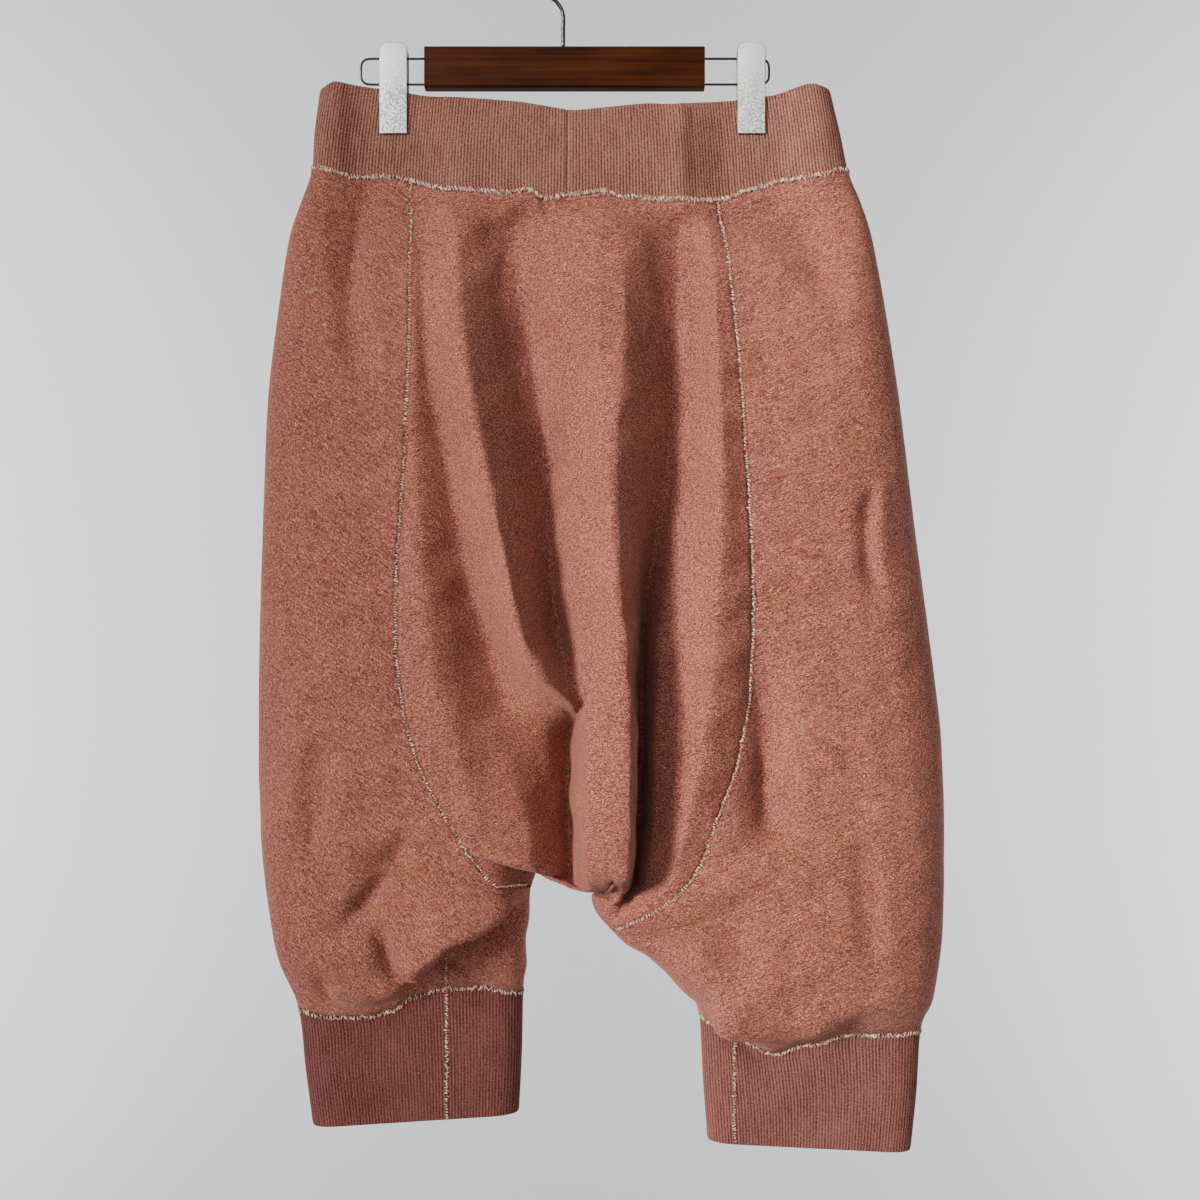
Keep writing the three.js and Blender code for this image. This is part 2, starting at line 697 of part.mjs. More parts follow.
// Shares of a section that cut a stretch of it into cells. A turning end has shorter cells.
function cellShares(half, t, layer, from, to, cells) {
  const samples = 12 * cells;
  const shares = [];
  const lengths = [0];
  let last = null;
  for (let i = 0; i <= samples; i++) {
    const s = lerp(from, to, (1 - Math.cos((Math.PI * i) / samples)) / 2);
    const p = clothPoint(half, t, layer, s);
    if (last) lengths.push(lengths[i - 1] + p.distanceTo(last));
    shares.push(s);
    last = p;
  }
  const total = lengths[samples];
  if (total === 0) return Array(cells + 1).fill(to);
  const crowd = 1.4;
  const turnsAtEnd = ease((t - CROTCH_ROW) / (GUSSET_END[half] - CROTCH_ROW));
  const oneEnd = (u) => (from === 0 ? u ** crowd : u);
  const bothEnds = (u) => (u < 0.5 ? (2 * u) ** crowd / 2 : 1 - (2 - 2 * u) ** crowd / 2);
  const found = [from];
  let k = 0;
  for (let i = 1; i < cells; i++) {
    const goal = total * (from === 0 ? lerp(oneEnd(i / cells), bothEnds(i / cells), turnsAtEnd) : i / cells);
    while (lengths[k + 1] < goal) k++;
    found.push(lerp(shares[k], shares[k + 1], (goal - lengths[k]) / (lengths[k + 1] - lengths[k])));
  }
  found.push(to);
  return found;
}

function legShares(half, t, layer) {
  const cells = layer === "front" ? CELLS.legFront : CELLS.legBack;
  return cellShares(half, t, layer, 0, seamShare(half, t), cells);
}

function gussetShares(half, t, layer) {
  const keys = gussetFolds(half, t, layer);
  const shares = [keys[0].share];
  for (let i = 1; i < keys.length; i++)
    shares.push(...cellShares(half, t, layer, keys[i - 1].share, keys[i].share, CELLS.fold).slice(1));
  return shares;
}

// The rows that the mesh uses: the table's own and steps between them, closer below the crotch
function rowPlaces(half, from, to) {
  const places = [];
  const lengthAt = (one, t) => {
    const [a, b] = [sectionAt(one, t), sectionAt(one, t + 1)];
    return (a.side.distanceTo(b.side) + a.inner.distanceTo(b.inner)) / 2;
  };
  for (let t = from; t < to; t++) {
    const low = t >= CROTCH_ROW;
    const length = low ? lengthAt(half, t) : Math.max(lengthAt("left", t), lengthAt("right", t));
    const steps = Math.max(1, Math.round(length / (low ? CELLS.lowRowStep : CELLS.rowStep)));
    for (let i = 0; i < steps; i++) places.push(t + i / steps);
  }
  return [...places, to];
}

// The cloth as one sheet of triangles, each marked with the panel that it belongs to
class Sheet {
  constructor() {
    this.points = [];
    this.keys = new Map();
    this.faces = [];
    this.level = new Set();
  }

  point(p) {
    const key = [p.x, p.y, p.z].map((c) => Math.round(c * 200)).join();
    if (!this.keys.has(key)) {
      this.keys.set(key, this.points.length);
      this.points.push(p);
    }
    return this.keys.get(key);
  }

  triangle(a, b, c, panel) {
    if (a !== b && b !== c && c !== a) this.faces.push({ corners: [a, b, c], panel });
  }

  quad(a, b, c, d, panel) {
    const far = (i, j) => this.points[i].distanceTo(this.points[j]);
    if (far(a, c) <= far(b, d)) {
      this.triangle(a, b, c, panel);
      this.triangle(a, c, d, panel);
    } else {
      this.triangle(a, b, d, panel);
      this.triangle(b, c, d, panel);
    }
  }

  // Rows of point numbers, joined by quads; turn reverses which side faces out
  strip(rows, panel, turn) {
    for (let i = 0; i + 1 < rows.length; i++)
      for (let j = 0; j + 1 < rows[i].length; j++) {
        const corners = [rows[i][j], rows[i + 1][j], rows[i + 1][j + 1], rows[i][j + 1]];
        if (turn) corners.reverse();
        this.quad(...corners, panel);
      }
  }

  // The way out of the cloth at each point, level where it meets a rib-knit band
  normals() {
    const sums = this.points.map(() => new THREE.Vector3());
    for (const { corners } of this.faces) {
      const [a, b, c] = corners.map((i) => this.points[i]);
      const normal = b.clone().sub(a).cross(c.clone().sub(a));
      for (const i of corners) sums[i].add(normal);
    }
    for (const i of this.level) sums[i].z = 0;
    return sums.map((n) => n.normalize());
  }
}

function buildSheet() {
  const sheet = new Sheet();
  for (const half of ["left", "right"]) {
    const places = rowPlaces(half, WAIST_ROW, CUFF_ROW);
    for (const layer of ["front", "back"]) {
      const turn = (half === "left") !== (layer === "front");
      const numbers = (t, shares) => shares.map((s) => sheet.point(clothPoint(half, t, layer, s)));
      const legRows = places.map((t) => numbers(t, legShares(half, t, layer)));
      const gussetPlaces = places.filter((t) => t <= GUSSET_END[half]);
      const gussetRows = gussetPlaces.map((t) => numbers(t, gussetShares(half, t, layer)));
      sheet.strip(legRows, "leg_" + half, turn);
      sheet.strip(gussetRows, "gusset", turn);
      for (const i of [...legRows[0], ...legRows.at(-1), ...gussetRows[0]]) sheet.level.add(i);
    }
  }
  return sheet;
}

// A closed mesh's geometry from its points and triangles
function geometryOf(points, triangles) {
  const geometry = new THREE.BufferGeometry();
  const numbers = points.flatMap((p) => [p.x, p.y, p.z]);
  geometry.setAttribute("position", new THREE.Float32BufferAttribute(numbers, 3));
  geometry.setIndex(triangles.flat());
  geometry.computeVertexNormals();
  return geometry;
}

// One panel of the sheet as a wall. Its edges stand back from the seams by half the seam gap.
function panelGeometry(sheet, normals, panel, wall) {
  const faces = sheet.faces.filter((face) => face.panel === panel).map((face) => face.corners);
  const edges = new Map();
  for (const [a, b, c] of faces)
    for (const [i, j, k] of [[a, b, c], [b, c, a], [c, a, b]]) {
      const back = j + "," + i;
      if (edges.has(back)) edges.delete(back);
      else edges.set(i + "," + j, { i, j, k });
    }
  const pulls = new Map();
  for (const { i, j, k } of edges.values()) {
    const along = sheet.points[j].clone().sub(sheet.points[i]).normalize();
    const inward = sheet.points[k].clone().sub(sheet.points[i]);
    inward.addScaledVector(along, -inward.dot(along)).normalize();
    for (const corner of [i, j]) {
      if (!pulls.has(corner)) pulls.set(corner, []);
      pulls.get(corner).push(inward);
    }
  }
  const points = [];
  const inner = [];
  const numbers = new Map();
  const number = (i) => {
    if (!numbers.has(i)) {
      const p = sheet.points[i].clone();
      const pull = pulls.get(i);
      if (pull) {
        const sum = pull.reduce((total, v) => total.add(v), new THREE.Vector3()).normalize();
        const cosine = Math.max(0.5, sum.dot(pull[0]));
        p.addScaledVector(sum, SEAM_GAP / 2 / cosine);
      }
      numbers.set(i, points.length);
      points.push(p);
      inner.push(p.clone().addScaledVector(normals[i], -wall));
    }
    return numbers.get(i);
  };
  const outside = faces.map((face) => face.map(number));
  const count = points.length;
  const inside = outside.map(([a, b, c]) => [c + count, b + count, a + count]);
  const rims = [...edges.values()].flatMap(({ i, j }) => {
    const [a, b] = [number(i), number(j)];
    return i < j
      ? [[b, a, b + count], [a, a + count, b + count]]
      : [[b, a, a + count], [b, a + count, b + count]];
  });
  return geometryOf([...points, ...inner], [...outside, ...inside, ...rims]);
}

// Rib-knit bands are rings that run anticlockwise from above, with the cloth's own columns
function halfRing(half, t, shares) {
  const front = shares("front").map((s) => clothPoint(half, t, "front", s));
  const back = shares("back").map((s) => clothPoint(half, t, "back", s));
  return half === "right"
    ? [...front.reverse().slice(0, -1), ...back.slice(0, -1)]
    : [...back.reverse().slice(0, -1), ...front.slice(0, -1)];
}

function waistRing(t) {
  const columns = (half) => (layer) => [
    ...legShares(half, WAIST_ROW, layer).slice(0, -1),
    ...gussetShares(half, WAIST_ROW, layer),
  ];
  return [...halfRing("right", t, columns("right")), ...halfRing("left", t, columns("left"))];
}

const cuffRing = (half, t) => halfRing(half, t, (layer) => legShares(half, CUFF_ROW, layer));

// The level direction out of a ring at each of its points
function ringNormals(ring) {
  const count = ring.length;
  return ring.map((_, i) => {
    const along = ring[(i + 1) % count].clone().sub(ring[(i + count - 1) % count]);
    return new THREE.Vector3(along.y, -along.x, 0).normalize();
  });
}

// A band from its rings, top to bottom. seamRow is the ring that meets the cloth.
function bandGeometry(rings, ribs, wall, seamRow) {
  const columns = 2 * ribs;
  const points = [];
  const outer = [];
  const inner = [];
  rings.forEach((ring, r) => {
    const normals = ringNormals(ring);
    const lift = r !== seamRow ? 0 : seamRow === 0 ? -SEAM_GAP / 2 : SEAM_GAP / 2;
    const keep = (p, n, depth) => points.push(p.addScaledVector(n, -depth).setZ(p.z + lift)) - 1;
    outer.push([]);
    for (let k = 0; k < columns; k++) {
      const place = (k / columns) * ring.length;
      const i = Math.floor(place);
      const j = (i + 1) % ring.length;
      const p = ring[i].clone().lerp(ring[j], place - i);
      const n = normals[i].clone().lerp(normals[j], place - i).normalize();
      outer[r].push(keep(p, n, k % 2 ? RIB_DEPTH : 0));
    }
    inner.push(ring.map((p, i) => keep(p.clone(), normals[i], wall)));
  });
  const triangles = [];
  const face = (facing, ...corners) => triangles.push(facing ? corners.reverse() : corners);
  const wallOf = (rows, facing) => {
    for (let r = 0; r + 1 < rows.length; r++)
      for (let k = 0; k < rows[r].length; k++) {
        const next = (k + 1) % rows[r].length;
        face(facing, rows[r][k], rows[r + 1][k], rows[r + 1][next]);
        face(facing, rows[r][k], rows[r + 1][next], rows[r][next]);
      }
  };
  // A rim joins the many outer points to the few inner ones
  const rim = (many, few, facing) => {
    let i = 0;
    let j = 0;
    while (i < many.length || j < few.length) {
      const manyFirst = (i + 0.5) * few.length <= (j + 0.5) * many.length;
      const onMany = j === few.length || (i < many.length && manyFirst);
      if (onMany) face(facing, many[i], many[(i + 1) % many.length], few[j % few.length]);
      else face(facing, many[i % many.length], few[(j + 1) % few.length], few[j]);
      if (onMany) i++;
      else j++;
    }
  };
  wallOf(outer, false);
  wallOf(inner, true);
  rim(outer[0], inner[0], false);
  rim(outer.at(-1), inner.at(-1), true);
  return geometryOf(points, triangles);
}

// Materials, from the photo
function finish(color, roughness, metalness) {
  return new THREE.MeshStandardMaterial({ color, roughness, metalness });
}
const SWEAT = finish(0xa8604f, 0.95, 0);
const RIB = finish(0x96554a, 0.95, 0);
const WOOD = finish(0x3b1a0e, 0.4, 0);
const STEEL = finish(0xb9bcbb, 0.3, 1);

const root = new THREE.Group();
function add(name, geometry, material) {
  const mesh = new THREE.Mesh(geometry, material);
  mesh.name = name;
  root.add(mesh);
  return mesh;
}

// Solids joined into one
function joined(geometries) {
  const solids = geometries.map((geometry) => {
    const bare = geometry.clone();
    bare.deleteAttribute("normal");
    bare.deleteAttribute("uv");
    const merged = mergeVertices(bare, 1e-4);
    const vertProperties = new Float32Array(merged.attributes.position.array);
    const triVerts = new Uint32Array(merged.index.array);
    return new wasm.Manifold(new wasm.Mesh({ numProp: 3, vertProperties, triVerts }));
  });
  const { vertProperties, triVerts } = solids.reduce((a, b) => a.add(b)).getMesh();
  const geometry = new THREE.BufferGeometry();
  geometry.setAttribute("position", new THREE.BufferAttribute(vertProperties, 3));
  geometry.setIndex(new THREE.BufferAttribute(triVerts, 1));
  geometry.computeVertexNormals();
  return geometry;
}

// Round wire along a path
function wireGeometry(path, diameter, steps, sides) {
  const circle = new THREE.EllipseCurve(0, 0, diameter / 2, diameter / 2);
  const section = new THREE.Shape(circle.getPoints(sides).slice(0, -1));
  return new THREE.ExtrudeGeometry(section, { extrudePath: path, steps });
}

function hookGeometry() {
  const { wire, radius, stemTop, kinkX, kinkZ, endAngle } = HOOK;
  const centreZ = wire / 2 - radius;
  const start = THREE.MathUtils.radToDeg(Math.atan2(kinkZ - centreZ, kinkX)) + 360;
  const points = [
    [0, BAR.top + CLEARANCE],
    [0, (BAR.top + stemTop) / 2],
    [0, stemTop],
    [kinkX / 5, stemTop + 3],
  ];
  const turns = 14;
  for (let i = 0; i <= turns; i++) {
    const angle = THREE.MathUtils.degToRad(lerp(start, endAngle, i / turns));
    points.push([radius * Math.cos(angle), centreZ + radius * Math.sin(angle)]);
  }
  const path = new THREE.CatmullRomCurve3(points.map(([x, z]) => new THREE.Vector3(x, 0, z)));
  return wireGeometry(path, wire, 34, 8);
}

function barGeometry() {
  const { left, right, top, height, depth, round } = BAR;
  const section = new THREE.Shape();
  const [w, h] = [depth / 2 - round, height / 2 - round];
  for (const [x, y, turn] of [[w, h, 0], [-w, h, 1], [-w, -h, 2], [w, -h, 3]])
    section.absarc(x, y, round, (turn * Math.PI) / 2, ((turn + 1) * Math.PI) / 2);
  const options = { depth: right - left, bevelEnabled: false, curveSegments: 3 };
  const geometry = new THREE.ExtrudeGeometry(section, options);
  geometry.rotateY(Math.PI / 2);
  geometry.rotateX(Math.PI / 2);
  return geometry.translate(left, 0, top - height / 2);
}

// One end's loop: out from the bar, round two bends, and back
function loopGeometry(end) {
  const { wire, topZ, bottomZ, bend } = LOOP;
  const away = Math.sign(LOOP[end]);
  const from = BAR[end] + away * CLEARANCE;
  const far = LOOP[end] - away * (wire / 2);
  const at = (back, z) => new THREE.Vector3(far - away * back, 0, z);
  const soft = 0.45 * bend;
  const path = new THREE.CurvePath();
  path.add(new THREE.LineCurve3(new THREE.Vector3(from, 0, topZ), at(bend, topZ)));
  const highBend = [at(bend, topZ), at(soft, topZ), at(0, topZ - soft), at(0, topZ - bend)];
  path.add(new THREE.CubicBezierCurve3(...highBend));
  path.add(new THREE.LineCurve3(at(0, topZ - bend), at(0, bottomZ + bend)));
  const lowBend = [at(0, bottomZ + bend), at(0, bottomZ + soft), at(soft, bottomZ), at(bend, bottomZ)];
  path.add(new THREE.CubicBezierCurve3(...lowBend));
  path.add(new THREE.LineCurve3(at(bend, bottomZ), new THREE.Vector3(from, 0, bottomZ)));
  return wireGeometry(path, wire, 32, 6);
}

// A jaw's plate, and the block behind it that sits between the loop's two wires
function jawGeometry(end, layer) {
  const { width, top, bottom, plate, round } = CLIP;
  const outward = layer === "front" ? -1 : 1;
  const [w, bevel] = [width / 2, 0.4];
  const shape = new THREE.Shape();
  shape.moveTo(-w + bevel, bottom + bevel);
  shape.lineTo(w - bevel, bottom + bevel);
  shape.absarc(w - bevel - round, top - bevel - round, round, 0, Math.PI / 2);
  shape.absarc(-w + bevel + round, top - bevel - round, round, Math.PI / 2, Math.PI);
  const edges = { bevelThickness: bevel, bevelSize: bevel, bevelSegments: 1, curveSegments: 4 };
  const face = new THREE.ExtrudeGeometry(shape, { depth: plate - 2 * bevel, ...edges });
  face.rotateX(Math.PI / 2);
  const near = PINCHED_HALF + CLEARANCE;
  face.translate(0, outward === -1 ? -near - bevel : near + plate - bevel, 0);
  const gap = LOOP.wire / 2 + CLEARANCE;
  const blockTop = LOOP.topZ - gap;
  const blockBottom = LOOP.bottomZ + gap;
  const depth = near + plate / 2 - CLEARANCE / 2;
  const block = new THREE.BoxGeometry(0.8 * width, depth, blockTop - blockBottom);
  block.translate(0, outward * (CLEARANCE / 2 + depth / 2), (blockTop + blockBottom) / 2);
  return joined([face, block]).translate(CLIP[end], 0, 0);
}

const sheet = buildSheet();
const normals = sheet.normals();
for (const panel of ["leg_left", "leg_right", "gusset"])
  add(panel, panelGeometry(sheet, normals, panel, CLOTH_WALL), SWEAT);

add("waistband", bandGeometry([0, WAIST_ROW].map(waistRing), WAIST_RIBS, BAND_WALL, 1), RIB);
for (const half of ["left", "right"]) {
  const rings = [CUFF_ROW, HEM_ROW].map((t) => cuffRing(half, t));
  add("cuff_" + half, bandGeometry(rings, CUFF_RIBS, CUFF_WALL, 0), RIB);
}

add("hanger_bar", barGeometry(), WOOD);
add("hanger_hook", hookGeometry(), STEEL);
for (const end of ["left", "right"]) {
  add("hanger_loop_" + end, loopGeometry(end), STEEL);
  for (const layer of ["front", "back"]) add("clip_" + end + "_" + layer, jawGeometry(end, layer), STEEL);
}

export default root;
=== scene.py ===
"""Cropped harem sweatpants on a clip hanger, dressed for a plain studio picture.

Lengths are in millimetres until a mesh is made. +Z is up and the front faces -Y. The origin is the
point inside the top of the hook that bears on a rail.
"""

import logging
import math
from dataclasses import dataclass, field
from enum import Enum
from typing import NamedTuple

import bpy
import numpy as np
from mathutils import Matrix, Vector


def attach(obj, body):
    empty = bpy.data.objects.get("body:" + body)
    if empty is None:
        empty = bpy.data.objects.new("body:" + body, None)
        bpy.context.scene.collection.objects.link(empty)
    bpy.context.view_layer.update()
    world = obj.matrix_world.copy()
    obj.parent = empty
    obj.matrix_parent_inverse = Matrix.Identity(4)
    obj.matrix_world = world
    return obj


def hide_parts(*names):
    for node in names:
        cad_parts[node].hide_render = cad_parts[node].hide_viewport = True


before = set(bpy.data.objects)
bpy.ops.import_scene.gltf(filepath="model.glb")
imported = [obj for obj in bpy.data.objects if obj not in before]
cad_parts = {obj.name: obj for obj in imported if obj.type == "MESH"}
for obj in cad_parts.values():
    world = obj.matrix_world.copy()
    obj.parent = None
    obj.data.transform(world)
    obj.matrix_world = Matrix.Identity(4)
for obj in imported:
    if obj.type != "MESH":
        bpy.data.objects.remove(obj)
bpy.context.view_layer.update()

log = logging.getLogger("harem_pants")

MM = 0.001
CLOTH_UV = "cloth"

Colour = tuple[float, float, float]
Place = tuple[float, float, float]
Span = tuple[float, float]
Array = np.ndarray


class Half(Enum):
    """The garment's halves, as the picture shows them."""

    LEFT = "left"
    RIGHT = "right"


class Layer(Enum):
    """The two layers that hang against each other."""

    FRONT = "front"
    BACK = "back"


class Row(NamedTuple):
    """One section across a half, from its side edge to the centre line or inner leg.

    front and back are the cloth's depth on each side of the middle plane. centre is 1 where the
    section runs on into the other half. ridge and hollow are the folds at the centre line.
    """

    side_x: float
    side_z: float
    inner_x: float
    inner_z: float
    front: float
    back: float
    centre: float = 0.0
    ridge: float = 0.0
    hollow: float = 0.0


class Drop(NamedTuple):
    """How far an edge hangs below the straight row, at a place across."""

    x: float
    drop: float


class Crease(NamedTuple):
    """A place on a fold's line, and how far the fold stands out there."""

    x: float
    z: float
    rise: float = 0.0


@dataclass(frozen=True)
class DeepFold:
    """A fold that hangs down the centre gusset.

    Attributes:
        lean: How far it pushes the cloth along X.
        path: Its line, from the waist down.
    """

    lean: float
    path: tuple[Crease, ...]


@dataclass(frozen=True)
class SmallFold:
    """A fold with two ends of its own.

    Attributes:
        layer: The layer it is in.
        rise: How far it stands out at its start and end, or below 0 how deep it lies.
        left: Its reach to the side that is the picture's left where the path runs down.
        right: Its reach to the other side.
        lean: How far its crest is pushed to that other side.
        fade: The share of the path that eases in, and out.
        path: Points (x, z) on its line.
        through: Whether it runs on through a ribbed band.
    """

    layer: Layer
    rise: tuple[float, float]
    left: float
    right: float
    lean: float
    fade: tuple[float, float]
    path: tuple[tuple[float, float], ...]
    through: bool = False


# Rows 0 to 2 are the waistband, 2 to 11 the body, 11 to 17 the legs and 17 to 19 the cuffs.
WAIST_ROW = 2
CROTCH_ROW = 11
CUFF_ROW = 17
HEM_ROW = 19
GUSSET_END = {Half.LEFT: 14, Half.RIGHT: 13}

FOLD_SOFTNESS = 0.35  # 0 is straight from one fold of the gusset to the next, 1 is rounded

ROWS = {
    Half.LEFT: (
        Row(-165, -103, 8, -118, 10, 10, 1),
        Row(-169, -132, 8, -148, 11.5, 11.5, 1),
        Row(-171, -159, 8, -178, 12, 12, 1),
        Row(-178, -181, 9, -196, 15, 12, 1, 6, -3),
        Row(-186, -208, 12, -223, 21, 16, 1, 10, -6),
        Row(-194, -263, 16, -280, 29, 22, 1, 14, -9),
        Row(-200, -317, 20, -337, 35, 27, 1, 17, -11),
        Row(-203, -392, 24, -426, 39, 31, 1, 23, -15),
        Row(-205, -455, 27, -514, 41, 33, 1, 29, -19),
        Row(-206, -505, 28, -592, 42, 34, 1, 31, -20),
        Row(-206, -528, 27, -632, 42, 34, 0.72, 30, -16),
        Row(-206, -545, 25, -647, 42, 34, 0, 24, -8),
        Row(-206, -567, -6, -635, 42, 33),
        Row(-205, -590, -17, -629, 42, 33),
        Row(-204, -619, -21, -643, 43, 33),
        Row(-200, -654, -24, -674, 43, 32),
        Row(-193, -693, -25, -694, 38, 28),
        Row(-180, -726, -27, -714, 15, 14),
        Row(-175, -768, -28, -758, 13, 13),
        Row(-170, -806, -30, -797, 11, 12),
    ),
    Half.RIGHT: (
        Row(181, -103, 8, -118, 10, 10, 1),
        Row(188, -132, 8, -148, 11.5, 11.5, 1),
        Row(194, -160, 8, -178, 12, 12, 1),
        Row(202, -181, 9, -196, 15, 12, 1, 6, -3),
        Row(210, -208, 12, -223, 21, 16, 1, 10, -6),
        Row(220, -263, 16, -280, 29, 22, 1, 14, -9),
        Row(228, -317, 20, -337, 35, 27, 1, 17, -11),
        Row(238, -399, 24, -426, 39, 31, 1, 23, -15),
        Row(247, -467, 27, -514, 41, 33, 1, 29, -19),
        Row(255, -532, 28, -592, 42, 34, 1, 31, -20),
        Row(257, -566, 27, -632, 42, 34, 0.72, 30, -16),
        Row(258, -590, 25, -647, 42, 34, 0, 24, -8),
        Row(258, -616, 20, -652, 42, 33),
        Row(258, -642, 29, -671, 42, 33),
        Row(257, -674, 56, -690, 42, 32),
        Row(254, -700, 70, -704, 40, 30),
        Row(250, -722, 84, -719, 34, 25),
        Row(243, -741, 92, -730, 15, 14),
        Row(240, -784, 95, -777, 13, 13),
        Row(236, -823, 98, -816, 11, 12),
    ),
}

TOP_EDGE = (
    Drop(-165, 0), Drop(-153, -4.5), Drop(-125, -3.5), Drop(-82, -0.5), Drop(-33, -1), Drop(8, 1.5),
    Drop(54, 1), Drop(79, 3.5), Drop(113, 2.5), Drop(138, 1.5), Drop(166, -3), Drop(181, 0),
)

WAIST_SEAM = (
    Drop(-171, 0), Drop(-142, 3.5), Drop(-114, 0), Drop(-77, 5.5), Drop(-40, 4.5), Drop(-24, 1),
    Drop(-11, 5), Drop(8, 0.5), Drop(25, 0), Drop(42, 6), Drop(70, 10), Drop(95, 12.5),
    Drop(110, 11.5), Drop(127, 7), Drop(148, 3.5), Drop(170, 4), Drop(194, 0),
)

CUFF_SEAM = {
    Half.LEFT: (
        Drop(-180, 0), Drop(-150, 5), Drop(-128, 6), Drop(-116, 3.5), Drop(-98, -5),
        Drop(-81, -9), Drop(-57, -8), Drop(-27, 0),
    ),
    Half.RIGHT: (
        Drop(92, 0), Drop(104, 5), Drop(118, 12), Drop(141, 20), Drop(165, 12), Drop(195, 3),
        Drop(243, 0),
    ),
}

GUSSET_SEAM = {
    Half.LEFT: (
        Crease(-105, -150), Crease(-103, -176), Crease(-101, -254), Crease(-103, -347),
        Crease(-108, -427), Crease(-108, -486), Crease(-102, -529), Crease(-90, -566),
        Crease(-70, -602), Crease(-59, -619), Crease(-49, -631), Crease(-41, -635),
        Crease(-31, -638), Crease(-21, -643),
    ),
    Half.RIGHT: (
        Crease(103, -150), Crease(106, -184), Crease(115, -267), Crease(121, -354),
        Crease(125, -427), Crease(125, -479), Crease(122, -519), Crease(114, -559),
        Crease(101, -594), Crease(89, -626), Crease(75, -644), Crease(58, -656),
        Crease(42, -665), Crease(29, -671),
    ),
}

DEEP_FOLDS = {
    (Half.LEFT, Layer.FRONT): (
        DeepFold(0, (
            Crease(-101, -150), Crease(-99, -250), Crease(-98, -340, 1), Crease(-94, -396, 4),
            Crease(-90, -438, 6), Crease(-83, -495, 8), Crease(-73, -540, 6), Crease(-58, -585, 2),
            Crease(-46, -620), Crease(-38, -655),
        )),
        DeepFold(0, (
            Crease(-97, -150), Crease(-93, -250, -3), Crease(-85, -320, -7), Crease(-76, -359, -11),
            Crease(-68, -405, -14), Crease(-60, -440, -16), Crease(-50, -475, -17),
            Crease(-43, -510, -16), Crease(-38, -538, -9), Crease(-30, -570, -6), Crease(-22, -600, -5),
            Crease(-19, -655, -2),
        )),
        DeepFold(4, (
            Crease(-76, -150, 3), Crease(-72, -225, 8), Crease(-66, -298, 17), Crease(-54, -358, 20),
            Crease(-39, -427, 24), Crease(-27, -480, 27), Crease(-14, -502, 27), Crease(0, -513, 25),
            Crease(5, -519, 18), Crease(-14, -533, -14), Crease(-14, -560, -22), Crease(-9, -600, -26),
            Crease(-6, -655, -10),
        )),
        DeepFold(-2, (
            Crease(-30, -150, -7), Crease(-29, -222, -13), Crease(-19, -290, -20), Crease(-9, -354, -21),
            Crease(-6, -427, -21), Crease(0, -480, -18), Crease(10, -508, 6), Crease(13, -520, 8),
            Crease(7, -536, -32), Crease(6, -580, -40), Crease(7, -620, -38), Crease(8, -660, -16),
        )),
        DeepFold(0, (
            Crease(-8, -150, -3), Crease(-5, -222, -1), Crease(3, -290), Crease(8, -354, 2),
            Crease(10, -427, 3), Crease(14, -486, 8), Crease(17, -514, 16), Crease(15, -540, 21),
            Crease(15, -580, 25), Crease(16, -640, 18), Crease(17, -660, 10),
        )),
    ),
    (Half.RIGHT, Layer.FRONT): (
        DeepFold(0, (
            Crease(94, -150), Crease(101, -250, 4), Crease(104, -350, 7), Crease(103, -430, 8),
            Crease(98, -500, 9), Crease(88, -570, 8), Crease(72, -630, 3), Crease(60, -660),
        )),
        DeepFold(0, (
            Crease(84, -150, -5), Crease(88, -222, -9), Crease(87, -290, -14), Crease(83, -354, -16),
            Crease(75, -405, -14), Crease(67, -450, -12), Crease(63, -495, -10), Crease(61, -540, -9),
            Crease(60, -585, -10), Crease(54, -660, -14),
        )),
        DeepFold(-3, (
            Crease(76, -150, -7), Crease(80, -222, -13), Crease(79, -290, -20), Crease(74, -354, -25),
            Crease(66, -410, -30), Crease(59, -450, -38), Crease(56, -495, -44), Crease(55, -585, -48),
            Crease(49, -660, -32),
        )),
        DeepFold(4, (
            Crease(36, -150, 4), Crease(37, -222, 10), Crease(35, -300, 16), Crease(31, -361, 19),
            Crease(32, -409, 22), Crease(34, -446, 25), Crease(38, -478, 28), Crease(40, -504, 30),
            Crease(41, -556, 32), Crease(41, -609, 30), Crease(38, -640, 22), Crease(34, -665, 14),
        )),
    ),
    (Half.LEFT, Layer.BACK): (
        DeepFold(0, (
            Crease(-82, -150), Crease(-80, -330, -6), Crease(-68, -430, -8), Crease(-50, -540, -12),
            Crease(-30, -645, -6),
        )),
        DeepFold(4, (
            Crease(-50, -150), Crease(-40, -300, 10), Crease(-28, -420, 14), Crease(-14, -520, 18),
            Crease(-8, -645, 8),
        )),
    ),
    (Half.RIGHT, Layer.BACK): (
        DeepFold(0, (
            Crease(84, -150), Crease(94, -360, -7), Crease(94, -470, -9), Crease(80, -580, -10),
            Crease(58, -660, -4),
        )),
        DeepFold(-4, (
            Crease(44, -150), Crease(54, -300, 10), Crease(60, -420, 15), Crease(62, -530, 18),
            Crease(46, -660, 8),
        )),
    ),
}

